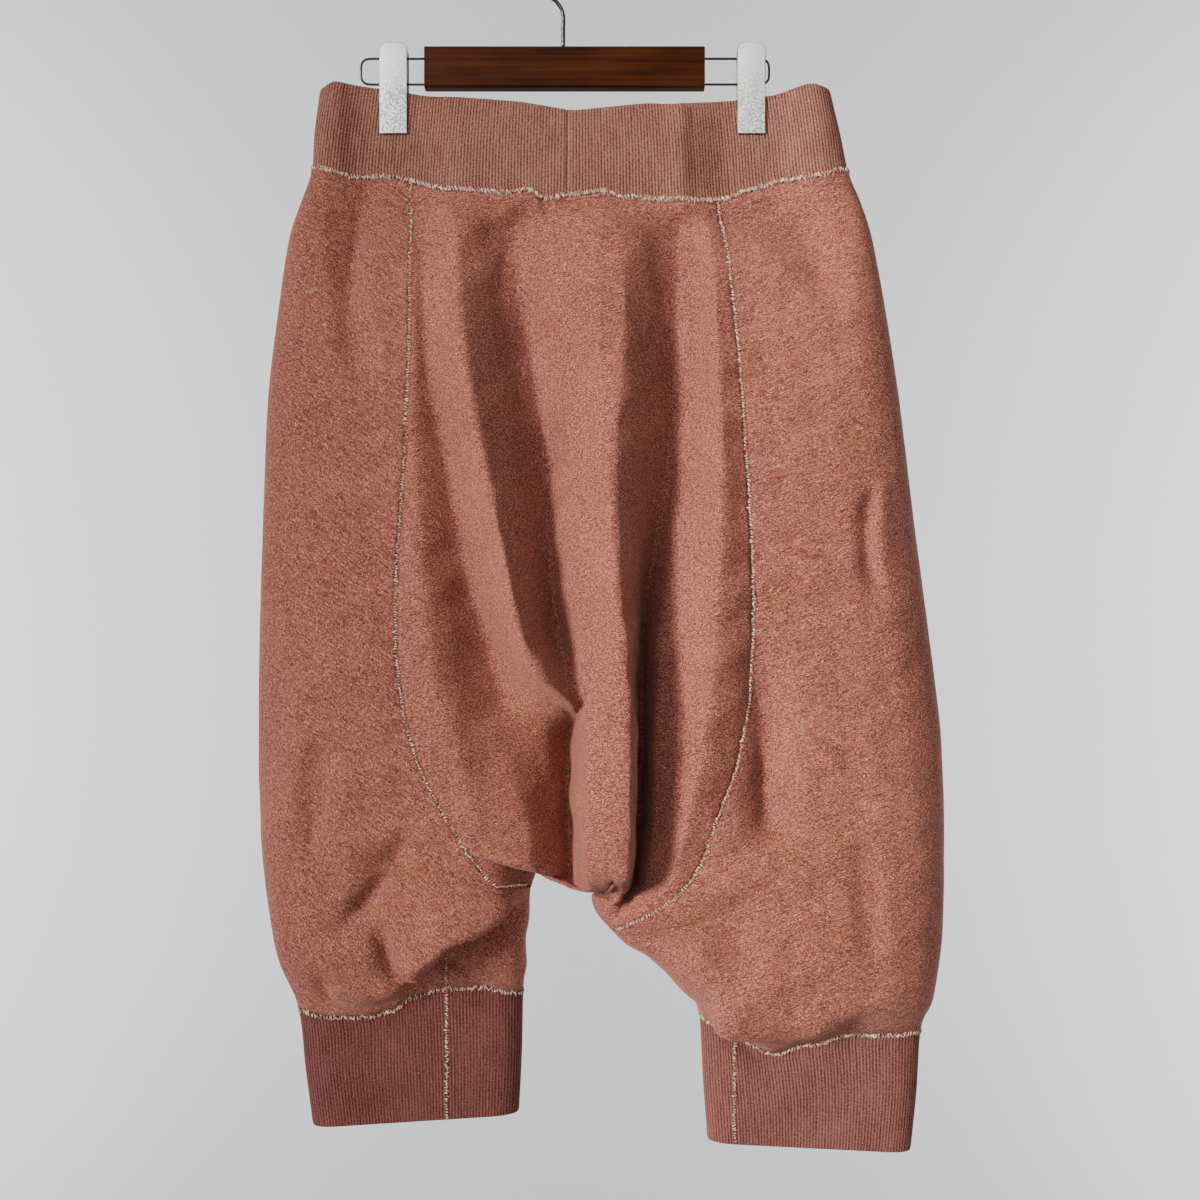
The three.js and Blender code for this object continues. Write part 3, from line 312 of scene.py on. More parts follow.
SMALL_FOLDS = (
    SmallFold(Layer.FRONT, (-6, -4), 19, 19, 0, (0.2, 0.3),
              ((-141, -182), (-142, -229), (-137, -275), (-125, -325))),
    SmallFold(Layer.FRONT, (-6, -6), 19, 19, 0, (0.3, 0.3), ((-155, -535), (-162, -578), (-173, -625))),
    SmallFold(Layer.FRONT, (-8, -7), 16, 15, 0, (0.3, 0.3), ((-106, -607), (-122, -636), (-142, -664))),
    SmallFold(Layer.FRONT, (10, 19), 34, 8, 10, (0.15, 0.2),
              ((-26, -643), (-40, -650), (-60, -659), (-80, -668), (-91, -682), (-98, -695), (-116, -704))),
    SmallFold(Layer.FRONT, (-15, -22), 6, 42, 0, (0.1, 0.2),
              ((-24, -652), (-36, -661), (-56, -670), (-73, -679), (-80, -692), (-90, -706))),
    SmallFold(Layer.FRONT, (8, 6), 19, 15, 6, (0.2, 0.3), ((-104, -703), (-126, -712), (-160, -713))),
    SmallFold(Layer.FRONT, (-8, -11), 27, 27, 0, (0.3, 0.3),
              ((129, -453), (134, -519), (136, -578), (134, -622))),
    SmallFold(Layer.FRONT, (-8, -5), 24, 24, 0, (0.2, 0.4), ((157, -182), (165, -215), (183, -268))),
    SmallFold(Layer.FRONT, (-7, -4), 16, 16, 0, (0.1, 0.4), ((38, -672), (66, -676), (92, -690))),
    SmallFold(Layer.FRONT, (-2.5, -4.5), 8, 14, 0, (0.3, 0.35), ((134, -520), (133, -566), (137, -612))),
    SmallFold(Layer.FRONT, (-3, -4), 14, 14, 0, (0.4, 0.3), ((196, -600), (200, -650), (204, -700))),
    SmallFold(Layer.FRONT, (-6, -7), 24, 24, 0, (0.3, 0.3), ((104, -640), (112, -680), (120, -712))),
    SmallFold(Layer.FRONT, (3, 12), 20, 18, 12, (0.5, 0.1),
              ((206, -716), (172, -728), (146, -738), (122, -728), (96, -718))),
    SmallFold(Layer.BACK, (-5, -5), 24, 24, 0, (0.3, 0.4), ((-140, -190), (-146, -280), (-150, -360))),
    SmallFold(Layer.BACK, (-7, -8), 24, 24, 0, (0.3, 0.3), ((-100, -600), (-124, -640), (-152, -680))),
    SmallFold(Layer.BACK, (7, 8), 24, 19, 8, (0.3, 0.3), ((-40, -690), (-90, -712), (-150, -716))),
    SmallFold(Layer.BACK, (-5, -5), 24, 24, 0, (0.3, 0.4), ((176, -200), (186, -300), (180, -420))),
    SmallFold(Layer.BACK, (-7, -7), 24, 24, 0, (0.3, 0.3), ((132, -600), (160, -650), (196, -700))),
    SmallFold(Layer.BACK, (7, 8), 24, 19, 8, (0.3, 0.3), ((216, -724), (170, -738), (112, -726))),
)

# Creases too fine for the solids
FINE_FOLDS = (
    SmallFold(Layer.FRONT, (-4.5, -5.5), 12, 4, 0, (0.2, 0.25),
              ((209, -365), (204, -385), (202, -402), (203, -421), (206, -436), (210, -449))),
    SmallFold(Layer.FRONT, (2.4, 2.6), 5, 14, 0, (0.3, 0.3),
              ((214, -368), (210, -386), (208, -404), (209, -422), (213, -440))),
    SmallFold(Layer.FRONT, (-2.5, -2.0), 7, 7, 0, (0.3, 0.5), ((-33, -200), (-38, -222), (-43, -234))),
    SmallFold(Layer.FRONT, (-2.5, -2.0), 7, 5, 0, (0.3, 0.5), ((-25, -298), (-33, -309))),
    SmallFold(Layer.FRONT, (-1.6, -3), 6, 9, 0, (0.4, 0.25),
              ((160, -528), (172, -541), (184, -549), (196, -553))),
    SmallFold(Layer.FRONT, (-3.2, -2.2), 6, 8, 0, (0.15, 0.4), ((40, -672), (58, -674), (76, -673))),
    SmallFold(Layer.FRONT, (-1.5, -3.5), 4, 9, 0, (0.3, 0.4),
              ((100, -722), (112, -731), (128, -742), (150, -752)), True),
    SmallFold(Layer.FRONT, (-6, -7), 7, 9, 0, (0.3, 0.15), ((-160, -690), (-158, -708), (-155, -728))),
    SmallFold(Layer.FRONT, (-4.4, -4.6), 5, 13, 0, (0.25, 0.3),
              ((-102, -592), (-110, -617), (-125, -641), (-142, -661), (-151, -668))),
    SmallFold(Layer.FRONT, (-2.8, -2.6), 5, 9, 0, (0.3, 0.3), ((-159, -581), (-165, -607), (-173, -627))),
    SmallFold(Layer.FRONT, (-9, -14), 10, 5, 0, (0.25, 0.15),
              ((-118, -656), (-115, -678), (-107, -697), (-97, -691), (-87, -680))),
    SmallFold(Layer.FRONT, (3.5, 3.5), 9, 9, 0, (0.3, 0.3), ((-112, -656), (-106, -672), (-98, -676))),
    SmallFold(Layer.FRONT, (-2.2, -2.6), 13, 13, 0, (0.05, 0.3),
              ((-139, -100), (-139, -140), (-139, -176)), True),
    SmallFold(Layer.FRONT, (-4.2, -3.4), 8, 9, 0, (0.1, 0.5),
              ((-136, -172), (-138, -200), (-140, -228), (-144, -290))),
    SmallFold(Layer.FRONT, (1.6, 1.6), 12, 12, 0, (0.05, 0.3), ((78, -100), (78, -140), (80, -190)), True),
    SmallFold(Layer.FRONT, (-2.0, -2.4), 9, 9, 0, (0.1, 0.3), ((134, -135), (135, -160), (138, -190)), True),
    SmallFold(Layer.FRONT, (-3.4, -3.0), 6, 7, 0, (0.3, 0.5), ((-13, -168), (-12, -180), (-8, -196)), True),
    SmallFold(Layer.FRONT, (-0.9, -0.7), 2.2, 2.2, 0, (0.05, 0.1), ((3, -112), (3, -176)), True),
    SmallFold(Layer.BACK, (-2.2, -2.2), 14, 14, 0, (0.05, 0.3),
              ((-90, -100), (-92, -140), (-96, -200)), True),
    SmallFold(Layer.BACK, (-2.0, -2.0), 13, 13, 0, (0.05, 0.3), ((96, -100), (98, -140), (104, -200)), True),
    SmallFold(Layer.BACK, (-2.4, -2.0), 8, 8, 0, (0.3, 0.4), ((-30, -210), (-36, -236))),
    SmallFold(Layer.BACK, (-3, -3), 8, 8, 0, (0.3, 0.3), ((-140, -560), (-150, -600))),
)


@dataclass(frozen=True)
class Build:
    """Sizes of the cloth and the parts that press on it.

    Attributes:
        band_wall: Thickness of the waistband's doubled rib knit.
        cloth_wall: Thickness of the sweat cloth.
        cuff_wall: Thickness of a cuff's doubled rib knit.
        rib_depth: How far a rib stands up from its grooves.
        waist_ribs: Ribs round the waistband.
        cuff_ribs: Ribs round a cuff.
        seam_gap: How far apart two pieces are at their seam.
        band_tip: Radius at a band's ends, where front turns into back.
        body_tip: The same for the cloth that hangs free.
        tip_rows: Rows below the waist seam and above the cuff seam from one to the other.
        fullness: How square that turn is. 2 is round.
        side_hold: The share of a section from its side edge over which folds grow to full size.
        inner_hold: The same from the inner leg.
        hold_rows: The same in rows, below the waist seam and above the cuff seam.
        middle_lean: How far the front's fold at the centre line leans along X.
        lean_rows: Rows below the waist seam over which folds come to lean in full.
        waist_wave_rows: How many rows below the waist seam its waves die out.
        cuff_wave_rows: The same above and below the cuff seam.
        clip_x: The middle of each clip.
        clip_width: A clip's width.
        clip_bottom: Height of the jaws' lower edge.
        pinched_half: Half the waistband's thickness between the jaws.
        press_beside: How far past a clip's side the waistband is still as flat.
        press_below: How far below the jaws it is.
        press_fade: How much farther beside and below them it takes to swell out again.
    """

    band_wall: float = 3.4
    cloth_wall: float = 2.0
    cuff_wall: float = 2.8
    rib_depth: float = 0.5
    waist_ribs: int = 356
    cuff_ribs: int = 148
    seam_gap: float = 0.3
    band_tip: float = 6.0
    body_tip: float = 24.0
    tip_rows: Span = (2.0, 1.5)
    fullness: float = 2.3
    side_hold: float = 0.16
    inner_hold: float = 0.12
    hold_rows: Span = (1.3, 0.8)
    middle_lean: float = 9.0
    lean_rows: float = 2.0
    waist_wave_rows: float = 2.4
    cuff_wave_rows: Span = (2.0, 1.6)
    clip_x: Span = (-115.0, 127.5)
    clip_width: float = 19.0
    clip_bottom: float = -134.5
    pinched_half: float = 3.9
    press_beside: float = 4.5
    press_below: float = 34.0
    press_fade: Span = (34.0, 60.0)


BUILD = Build()


def ease(s: Array) -> Array:
    """A smooth step from 0 to 1."""
    s = np.clip(s, 0.0, 1.0)
    return s * s * (3 - 2 * s)


def hermite(a: Array, slope_a: Array, b: Array, slope_b: Array, s: Array) -> Array:
    """A smooth curve from a to b.

    Args:
        a: Its start.
        slope_a: Its slope there.
        b: Its end.
        slope_b: Its slope there.
        s: How far along it, 0 to 1.
    """
    square, cube = s * s, s * s * s
    ends = (2 * cube - 3 * square + 1) * a + (3 * square - 2 * cube) * b
    return ends + (cube - 2 * square + s) * slope_a + (cube - square) * slope_b


def smooth_rows(table: Array, places: Array) -> Array:
    """A table's columns at places between its rows, on a smooth curve through them.

    Args:
        table: One line for each row.
        places: Row numbers, not always whole.

    Returns:
        The places' shape, with the table's columns last.
    """
    last = len(table) - 1
    i = np.clip(np.floor(places).astype(int), 0, last - 1)
    s = (places - i)[..., None]
    a, b, c, d = (table[np.clip(i + k, 0, last)] for k in (-1, 0, 1, 2))
    return hermite(b, (c - a) / 2, c, (d - b) / 2, s)


def smooth_line(path: tuple, steps: int = 10) -> Array:
    """Points on a smooth curve through a path.

    Args:
        path: Points of two or three numbers.
        steps: Points from one of them to the next.
    """
    p = np.array([(*q, 0.0)[:3] for q in path], float)
    p = np.vstack([2 * p[0] - p[1], p, 2 * p[-1] - p[-2]])
    far = np.maximum(((p[1:] - p[:-1]) ** 2).sum(1), 1e-9) ** 0.25
    s = np.arange(steps)[:, None] / steps
    parts = []
    for k in range(1, len(p) - 2):
        p0, p1, p2, p3 = p[k - 1 : k + 3]
        d0, d1, d2 = far[k - 1 : k + 2]
        slope1 = ((p1 - p0) / d0 - (p2 - p0) / (d0 + d1) + (p2 - p1) / d1) * d1
        slope2 = ((p2 - p1) / d1 - (p3 - p1) / (d1 + d2) + (p3 - p2) / d2) * d1
        parts.append(hermite(p1, slope1, p2, slope2, s))
    return np.vstack([*parts, p[-2:-1]])


def drop_at(table: tuple[Drop, ...], x: Array) -> Array:
    """How far an edge hangs, eased from one place of its table to the next.

    Args:
        table: The edge's drops, from left to right.
        x: Places across.

    Returns:
        The drop at each place, and 0 outside the table.
    """
    xs = np.array([row.x for row in table])
    drops = np.array([row.drop for row in table])
    i = np.clip(np.searchsorted(xs, x, side="right"), 1, len(xs) - 1)
    s = ease((x - xs[i - 1]) / (xs[i] - xs[i - 1]))
    inside = (x >= xs[0]) & (x < xs[-1])
    return np.where(inside, drops[i - 1] + (drops[i] - drops[i - 1]) * s, 0.0)


def arc_lengths(points: Array) -> Array:
    """Length along each line of points so far, from 0. The last axis but one runs along the line."""
    steps = np.linalg.norm(np.diff(points, axis=-2), axis=-1)
    zero = np.zeros((*steps.shape[:-1], 1))
    return np.concatenate([zero, np.cumsum(steps, axis=-1)], axis=-1)


def unit(vectors: Array) -> Array:
    """Vectors made one long."""
    return vectors / np.maximum(np.linalg.norm(vectors, axis=-1, keepdims=True), 1e-12)


class PantsForm:
    """The outer face of the cloth, worked out from the tables."""

    def __init__(self) -> None:
        """Draws every seam and fold line once."""
        self.rows = {half: np.array(ROWS[half], float) for half in Half}
        self.seams = {half: smooth_line(GUSSET_SEAM[half]) for half in Half}
        self.deep = {
            key: [(fold.lean, smooth_line(fold.path)) for fold in folds]
            for key, folds in DEEP_FOLDS.items()
        }
        self.small = [(fold, smooth_line(fold.path)[:, :2]) for fold in SMALL_FOLDS + FINE_FOLDS]

    def section(self, half: Half, t: Array) -> Array:
        """The table's columns at rows t."""
        return smooth_rows(self.rows[half], t)

    def crossing(self, half: Half, t: Array, line: Array) -> tuple[Array, Array]:
        """Where sections cross a line.

        Args:
            half: The half whose sections they are.
            t: Row numbers, in one list.
            line: Points of x, z and rise.

        Returns:
            The share of each section from its side edge, 1 where it doesn't cross, and the rise.
        """
        row = self.section(half, t)
        side = row[:, None, 0:2]
        run = row[:, None, 2:4] - side
        step = (line[1:, :2] - line[:-1, :2])[None]
        start = line[None, :-1, :2] - side
        det = run[..., 0] * step[..., 1] - run[..., 1] * step[..., 0]
        share = (start[..., 0] * step[..., 1] - start[..., 1] * step[..., 0]) / det
        along = (start[..., 0] * run[..., 1] - start[..., 1] * run[..., 0]) / det
        good = (along >= 0) & (along <= 1) & (share > 0) & (share <= 1)
        first = good.argmax(axis=1)
        n = np.arange(len(t))
        met = good[n, first]
        rise = line[first, 2] + (line[first + 1, 2] - line[first, 2]) * along[n, first]
        return np.where(met, share[n, first], 1.0), np.where(met, rise, 0.0)

    def seam_share(self, half: Half, t: Array) -> Array:
        """The share of each section at which the gusset's seam lies."""
        share, _ = self.crossing(half, t, self.seams[half])
        return np.where(t >= GUSSET_END[half], 1.0, share)

    def fold_keys(self, half: Half, layer: Layer, t: Array) -> Array:
        """The gusset's folds on each section.

        Args:
            half: The garment's half.
            layer: Front or back.
            t: Row numbers.

        Returns:
            For each row, the folds from the seam to the centre line, each as share, rise and lean.
        """
        up_to = np.minimum(t, CROTCH_ROW)
        seam = self.seam_share(half, up_to)
        zero = np.zeros_like(seam)
        keys = [(seam, zero, zero)]
        for lean, line in self.deep[half, layer]:
            share, rise = self.crossing(half, up_to, line)
            keys.append((share, rise, zero + lean))
        ridge, hollow = self.section(half, up_to).T[-2:]
        if layer is Layer.FRONT:
            keys.append((zero + 1, ridge, zero + BUILD.middle_lean))
        else:
            keys.append((zero + 1, hollow, zero))
        start = self.seam_share(half, t)
        left = 1 - ease((t - CROTCH_ROW) / (GUSSET_END[half] - CROTCH_ROW))
        moved = [
            (start + (1 - start) * (share - seam) / (1 - seam), rise * left, lean * left)
            for share, rise, lean in keys
        ]
        return np.moveaxis(np.array(moved), -1, 0)

    def gusset_push(self, half: Half, layer: Layer, t: Array, across: Array) -> tuple[Array, Array]:
        """The push of the gusset's folds on points.

        Args:
            half: The garment's half.
            layer: Front or back.
            t: Row numbers.
            across: For each row, shares of the section from its side edge.

        Returns:
            The push along X, and the push out of the cloth.
        """
        keys = self.fold_keys(half, layer, t)
        strength = np.clip((t - WAIST_ROW) / BUILD.lean_rows, 0, 1)[:, None]
        push_x, out = np.zeros_like(across), np.zeros_like(across)
        for k in range(1, keys.shape[1]):
            a, b = keys[:, k - 1, :, None], keys[:, k, :, None]
            inside = (across > a[:, 0]) & (across <= b[:, 0])
            s = (across - a[:, 0]) / np.maximum(b[:, 0] - a[:, 0], 1e-9)
            s = FOLD_SOFTNESS * ease(s) + (1 - FOLD_SOFTNESS) * np.clip(s, 0, 1)
            out = np.where(inside, a[:, 1] + (b[:, 1] - a[:, 1]) * s, out)
            push_x = np.where(inside, (a[:, 2] + (b[:, 2] - a[:, 2]) * s) * strength, push_x)
        return push_x, out

    @staticmethod
    def fold_push(fold: SmallFold, line: Array, x: Array, z: Array) -> Array:
        """A small fold's push on points.

        Args:
            fold: The fold.
            line: Points (x, z) on its smooth line.
            x: The points' places across the flat section.
            z: Their heights.

        Returns:
            The push along X, out of the cloth, and along Z.
        """
        best = np.full(x.shape, np.inf)
        away, along = np.zeros(x.shape), np.zeros(x.shape)
        across_x, across_z = np.zeros(x.shape), np.zeros(x.shape)
        for i, ((ax, az), (bx, bz)) in enumerate(zip(line[:-1], line[1:])):
            dx, dz = bx - ax, bz - az
            length = math.hypot(dx, dz)
            s = np.clip(((x - ax) * dx + (z - az) * dz) / length**2, 0, 1)
            ex, ez = x - ax - s * dx, z - az - s * dz
            far = np.hypot(ex, ez)
            near = far < best
            best = np.where(near, far, best)
            away = np.where(near, np.sign(-ex * dz + ez * dx) * far, away)
            along = np.where(near, (i + s) / (len(line) - 1), along)
            across_x = np.where(near, -dz / length, across_x)
            across_z = np.where(near, dx / length, across_z)
        width = np.where(away > 0, fold.right, fold.left)
        crest = np.where(best > width, 0.0, (1 + np.cos(np.pi * np.clip(away / width, -1, 1))) / 2)
        size = crest * ease(along / fold.fade[0]) * ease((1 - along) / fold.fade[1])
        rise = fold.rise[0] + (fold.rise[1] - fold.rise[0]) * along
        return np.stack([across_x * fold.lean * size, rise * size, across_z * fold.lean * size])

    @staticmethod
    def end_round(t: Array, distance: Array, depth: Array, run: Array) -> Array:
        """How full the section is near an end where it turns from front to back.

        Args:
            t: Row numbers.
            distance: How far the points are from the end.
            depth: The section's depth.
            run: The section's length.

        Returns:
            0 at the end, rising to 1 where the section has its full depth.
        """
        upper, lower = BUILD.tip_rows
        free = ease((t - WAIST_ROW) / upper) * ease((CUFF_ROW - t) / lower)
        tip = BUILD.band_tip + (BUILD.body_tip - BUILD.band_tip) * free
        reach = np.minimum(depth**2 / tip, run / 2)
        left = 1 - np.clip(distance / reach, 0, 1)
        return (1 - left**BUILD.fullness) ** (1 / BUILD.fullness)

    @staticmethod
    def pinch(x: Array, z: Array) -> Array:
        """How hard the jaws press the waistband flat: 1 under a clip, 0 clear of it."""
        beside, below = BUILD.press_fade
        flat = BUILD.clip_width / 2 + BUILD.press_beside
        far = np.minimum(abs(x - BUILD.clip_x[0]), abs(x - BUILD.clip_x[1]))
        deep = BUILD.clip_bottom - BUILD.press_below - z
        return (1 - ease((far - flat) / beside)) * (1 - ease(deep / below))

    @staticmethod
    def hang(half: Half, down: Array, x: Array, z: Array) -> Array:
        """Heights once the top edge and the seams hang in their waves.

        Args:
            half: The garment's half.
            down: Row numbers.
            x: Places across the flat section.
            z: Heights with straight seams.

        Returns:
            The heights.
        """
        from_top = ease(down / WAIST_ROW)
        z = z - drop_at(TOP_EDGE, x) * (1 - from_top)
        waist = (1 - ease((down - WAIST_ROW) / BUILD.waist_wave_rows)) * from_top
        z = z - drop_at(WAIST_SEAM, x) * waist
        above, below = BUILD.cuff_wave_rows
        cuff = ease((down - CUFF_ROW + above) / above) * ease((CUFF_ROW + below - down) / below)
        return z - drop_at(CUFF_SEAM[half], x) * cuff

    def points(self, half: Half, layer: Layer, t: Array, across: Array) -> Array:
        """Points of the outer face.

        Args:
            half: The garment's half.
            layer: Front or back.
            t: Row numbers, in one list.
            across: For each row, shares of the section from its side edge.

        Returns:
            Points, with x, y and z last.
        """
        side_x, side_z, inner_x, inner_z, front, back, centre, *_ = self.section(half, t).T[..., None]
        x = side_x + (inner_x - side_x) * across
        z = side_z + (inner_z - side_z) * across
        depth = front if layer is Layer.FRONT else back
        run = np.hypot(inner_x - side_x, inner_z - side_z)
        down = t[:, None]
        centre = np.where(down > CROTCH_ROW, 0, np.clip(centre, 0, 1))
        full = self.end_round(down, across * run, depth, run)
        inner = self.end_round(down, (1 - across) * run, depth, run)
        out = depth * full * (inner + (1 - inner) * centre)

        off_inner = ease((1 - across) / BUILD.inner_hold)
        side_hold = ease(across / BUILD.side_hold) * (off_inner + (1 - off_inner) * centre)
        upper, lower = BUILD.hold_rows
        hold = side_hold * ease((down - WAIST_ROW) / upper) * ease((CUFF_ROW - down) / lower)
        push_x, push_out = self.gusset_push(half, layer, t, across)
        push = np.stack([push_x, push_out, np.zeros_like(push_x)])
        through = np.zeros_like(push_x)
        for fold, line in self.small:
            if fold.layer is not layer:
                continue
            if fold.through:
                through += self.fold_push(fold, line, x, z)[1]
            else:
                push += self.fold_push(fold, line, x, z)
        out = out + push[1] * hold + through * side_hold
        z = self.hang(half, down, x, z + push[2] * hold)

        press = self.pinch(x, z)
        pressed = np.minimum(out, BUILD.pinched_half * full)
        out = np.maximum(out, 0) * (1 - press) + pressed * press
        return np.stack([x + push[0] * hold, out if layer is Layer.BACK else -out, z], axis=-1)

    def spread(self, half: Half, layer: Layer, t: Array, ends: tuple[Array, Array], cells: int) -> Array:
        """Shares that cut each section's stretch into cells of even length.

        Args:
            half: The garment's half.
            layer: Front or back.
            t: Row numbers.
            ends: For each row, the share where the stretch starts and where it ends.
            cells: Cells in each row.

        Returns:
            For each row, the shares of its cells' corners.
        """
        samples = 5 * cells
        curve = (1 - np.cos(np.pi * np.arange(samples + 1) / samples)) / 2
        start, end = ends[0][:, None], ends[1][:, None]
        shares = start + (end - start) * curve
        lengths = arc_lengths(self.points(half, layer, t, shares))
        goals = lengths[:, -1:] * np.arange(cells + 1) / cells
        found = np.array([np.interp(g, m, s) for g, m, s in zip(goals, lengths, shares)])
        found[:, 0], found[:, -1] = ends[0], ends[1]
        return found

    def row_height(self, half: Half, t: int) -> float:
        """How far row t is from the next, the mean at both its ends."""
        a, b = self.rows[half][t : t + 2]
        return (math.dist(a[0:2], b[0:2]) + math.dist(a[2:4], b[2:4])) / 2

    def row_places(self, half: Half, step: float) -> Array:
        """Rows from the waist seam to the cuff seam.

        Args:
            half: The garment's half. Both halves share the rows above the crotch.
            step: How far apart they are, in millimetres.

        Returns:
            Row numbers, not always whole.
        """
        places = []
        for t in range(WAIST_ROW, CUFF_ROW):
            halves = (half,) if t >= CROTCH_ROW else tuple(Half)
            far = max(self.row_height(one, t) for one in halves)
            count = max(2, round(far / step))
            places += [t + i / count for i in range(count)]
        return np.array([*places, float(CUFF_ROW)])


@dataclass
class Grid:
    """Points of one stretch of a panel, in rows and columns.

    Attributes:
        points: Rows by columns by 3, in millimetres.
        uv: Place on the cut cloth, in metres.
        seam: How far each point is from the nearest gusset seam, in millimetres.
        loose: 0 where a band holds the cloth, 1 where it hangs free.
        turned: Whether the rows run the other way round.
    """

    points: Array
    uv: Array
    seam: Array
    loose: Array
    turned: bool


@dataclass
class Surface:
    """Welded points with faces and the place of each face's corners on the cloth."""

    points: Array
    normals: Array
    faces: list[tuple[int, ...]]
    uvs: Array
    numbers: list[Array] = field(default_factory=list)


class MeshMaker:
    """Makes Blender meshes from arrays."""

    @staticmethod
    def weld(grids: list[Grid]) -> Surface:
        """Joins grids that share border points.

        Args:
            grids: The grids.

        Returns:
            One surface, with the numbers of each grid's points in it.
        """
        stacked = np.vstack([grid.points.reshape(-1, 3) for grid in grids])
        keys = np.round(stacked * 200).astype(np.int64)
        _, first, back = np.unique(keys, axis=0, return_index=True, return_inverse=True)
        back = back.reshape(-1)
        points = stacked[first]
        faces, uvs, numbers, start = [], [], [], 0
        normals = np.zeros_like(points)
        for grid in grids:
            rows, columns = grid.points.shape[:2]
            number = back[start : start + rows * columns].reshape(rows, columns)
            start += rows * columns
            numbers.append(number)
            corners = [(0, 0), (1, 0), (1, 1), (0, 1)]
            if grid.turned:
                corners.reverse()
            cut = [np.s_[i : rows - 1 + i, j : columns - 1 + j] for i, j in corners]
            quads = np.stack([number[c] for c in cut], axis=-1).reshape(-1, 4)
            quad_uvs = np.stack([grid.uv[c] for c in cut], axis=-2).reshape(-1, 4, 2)
            p = points[quads]
            normal = np.cross(p[:, 2] - p[:, 0], p[:, 3] - p[:, 1])
            for k in range(4):
                np.add.at(normals, quads[:, k], normal)
            for quad, uv in zip(quads.tolist(), quad_uvs):
                keep = [k for k in range(4) if quad[k] != quad[k - 1]]
                if len(keep) > 2 and len({quad[k] for k in keep}) == len(keep):
                    faces.append(tuple(quad[k] for k in keep))
                    uvs.extend(uv[k] for k in keep)
        return Surface(points, unit(normals), faces, np.array(uvs), numbers)

    @staticmethod
    def make(name: str, points: Array, faces: list, uvs: Array | None = None) -> bpy.types.Object:
        """A smooth-shaded object.

        Args:
            name: The object's name.
            points: In millimetres.
            faces: Point numbers of each face.
            uvs: One pair for each face corner, in metres.

        Returns:
            The object, in the scene.
        """
        mesh = bpy.data.meshes.new(name)
        mesh.from_pydata((points * MM).tolist(), [], faces)
        mesh.polygons.foreach_set("use_smooth", [True] * len(mesh.polygons))
        if uvs is not None:
            layer = mesh.uv_layers.new(name=CLOTH_UV)
            layer.data.foreach_set("uv", uvs.astype(np.float32).ravel())
        mesh.update()
        piece = bpy.data.objects.new(name, mesh)
        bpy.context.scene.collection.objects.link(piece)
        return piece


class Socket:
    """A number in a shader. Python's operators on it add Math nodes."""

    def __init__(self, graph: "Graph", link: bpy.types.NodeSocket) -> None:
        """Wraps an output."""
        self.graph = graph
        self.link = link

    def _math(self, operation: str, a: "Operand", b: "Operand") -> "Socket":
        """One Math node."""
        return self.graph.node("ShaderNodeMath", {"operation": operation}, {0: a, 1: b})

    def __add__(self, other: "Operand") -> "Socket":
        """self + other."""
        return self._math("ADD", self, other)

    __radd__ = __add__

    def __sub__(self, other: "Operand") -> "Socket":
        """self - other."""
        return self._math("SUBTRACT", self, other)

    def __rsub__(self, other: "Operand") -> "Socket":
        """other - self."""
        return self._math("SUBTRACT", other, self)

    def __mul__(self, other: "Operand") -> "Socket":
        """self * other."""
        return self._math("MULTIPLY", self, other)

    __rmul__ = __mul__

    def band(self, low: float, high: float) -> "Socket":
        """0 below low, 1 above high, smooth between."""
        settings = {"interpolation_type": "SMOOTHSTEP"}
        return self.graph.node("ShaderNodeMapRange", settings, {0: self, 1: low, 2: high})

    def cosine(self) -> "Socket":
        """The cosine of an angle."""
        return self.graph.node("ShaderNodeMath", {"operation": "COSINE"}, {0: self})


Operand = Socket | float | tuple


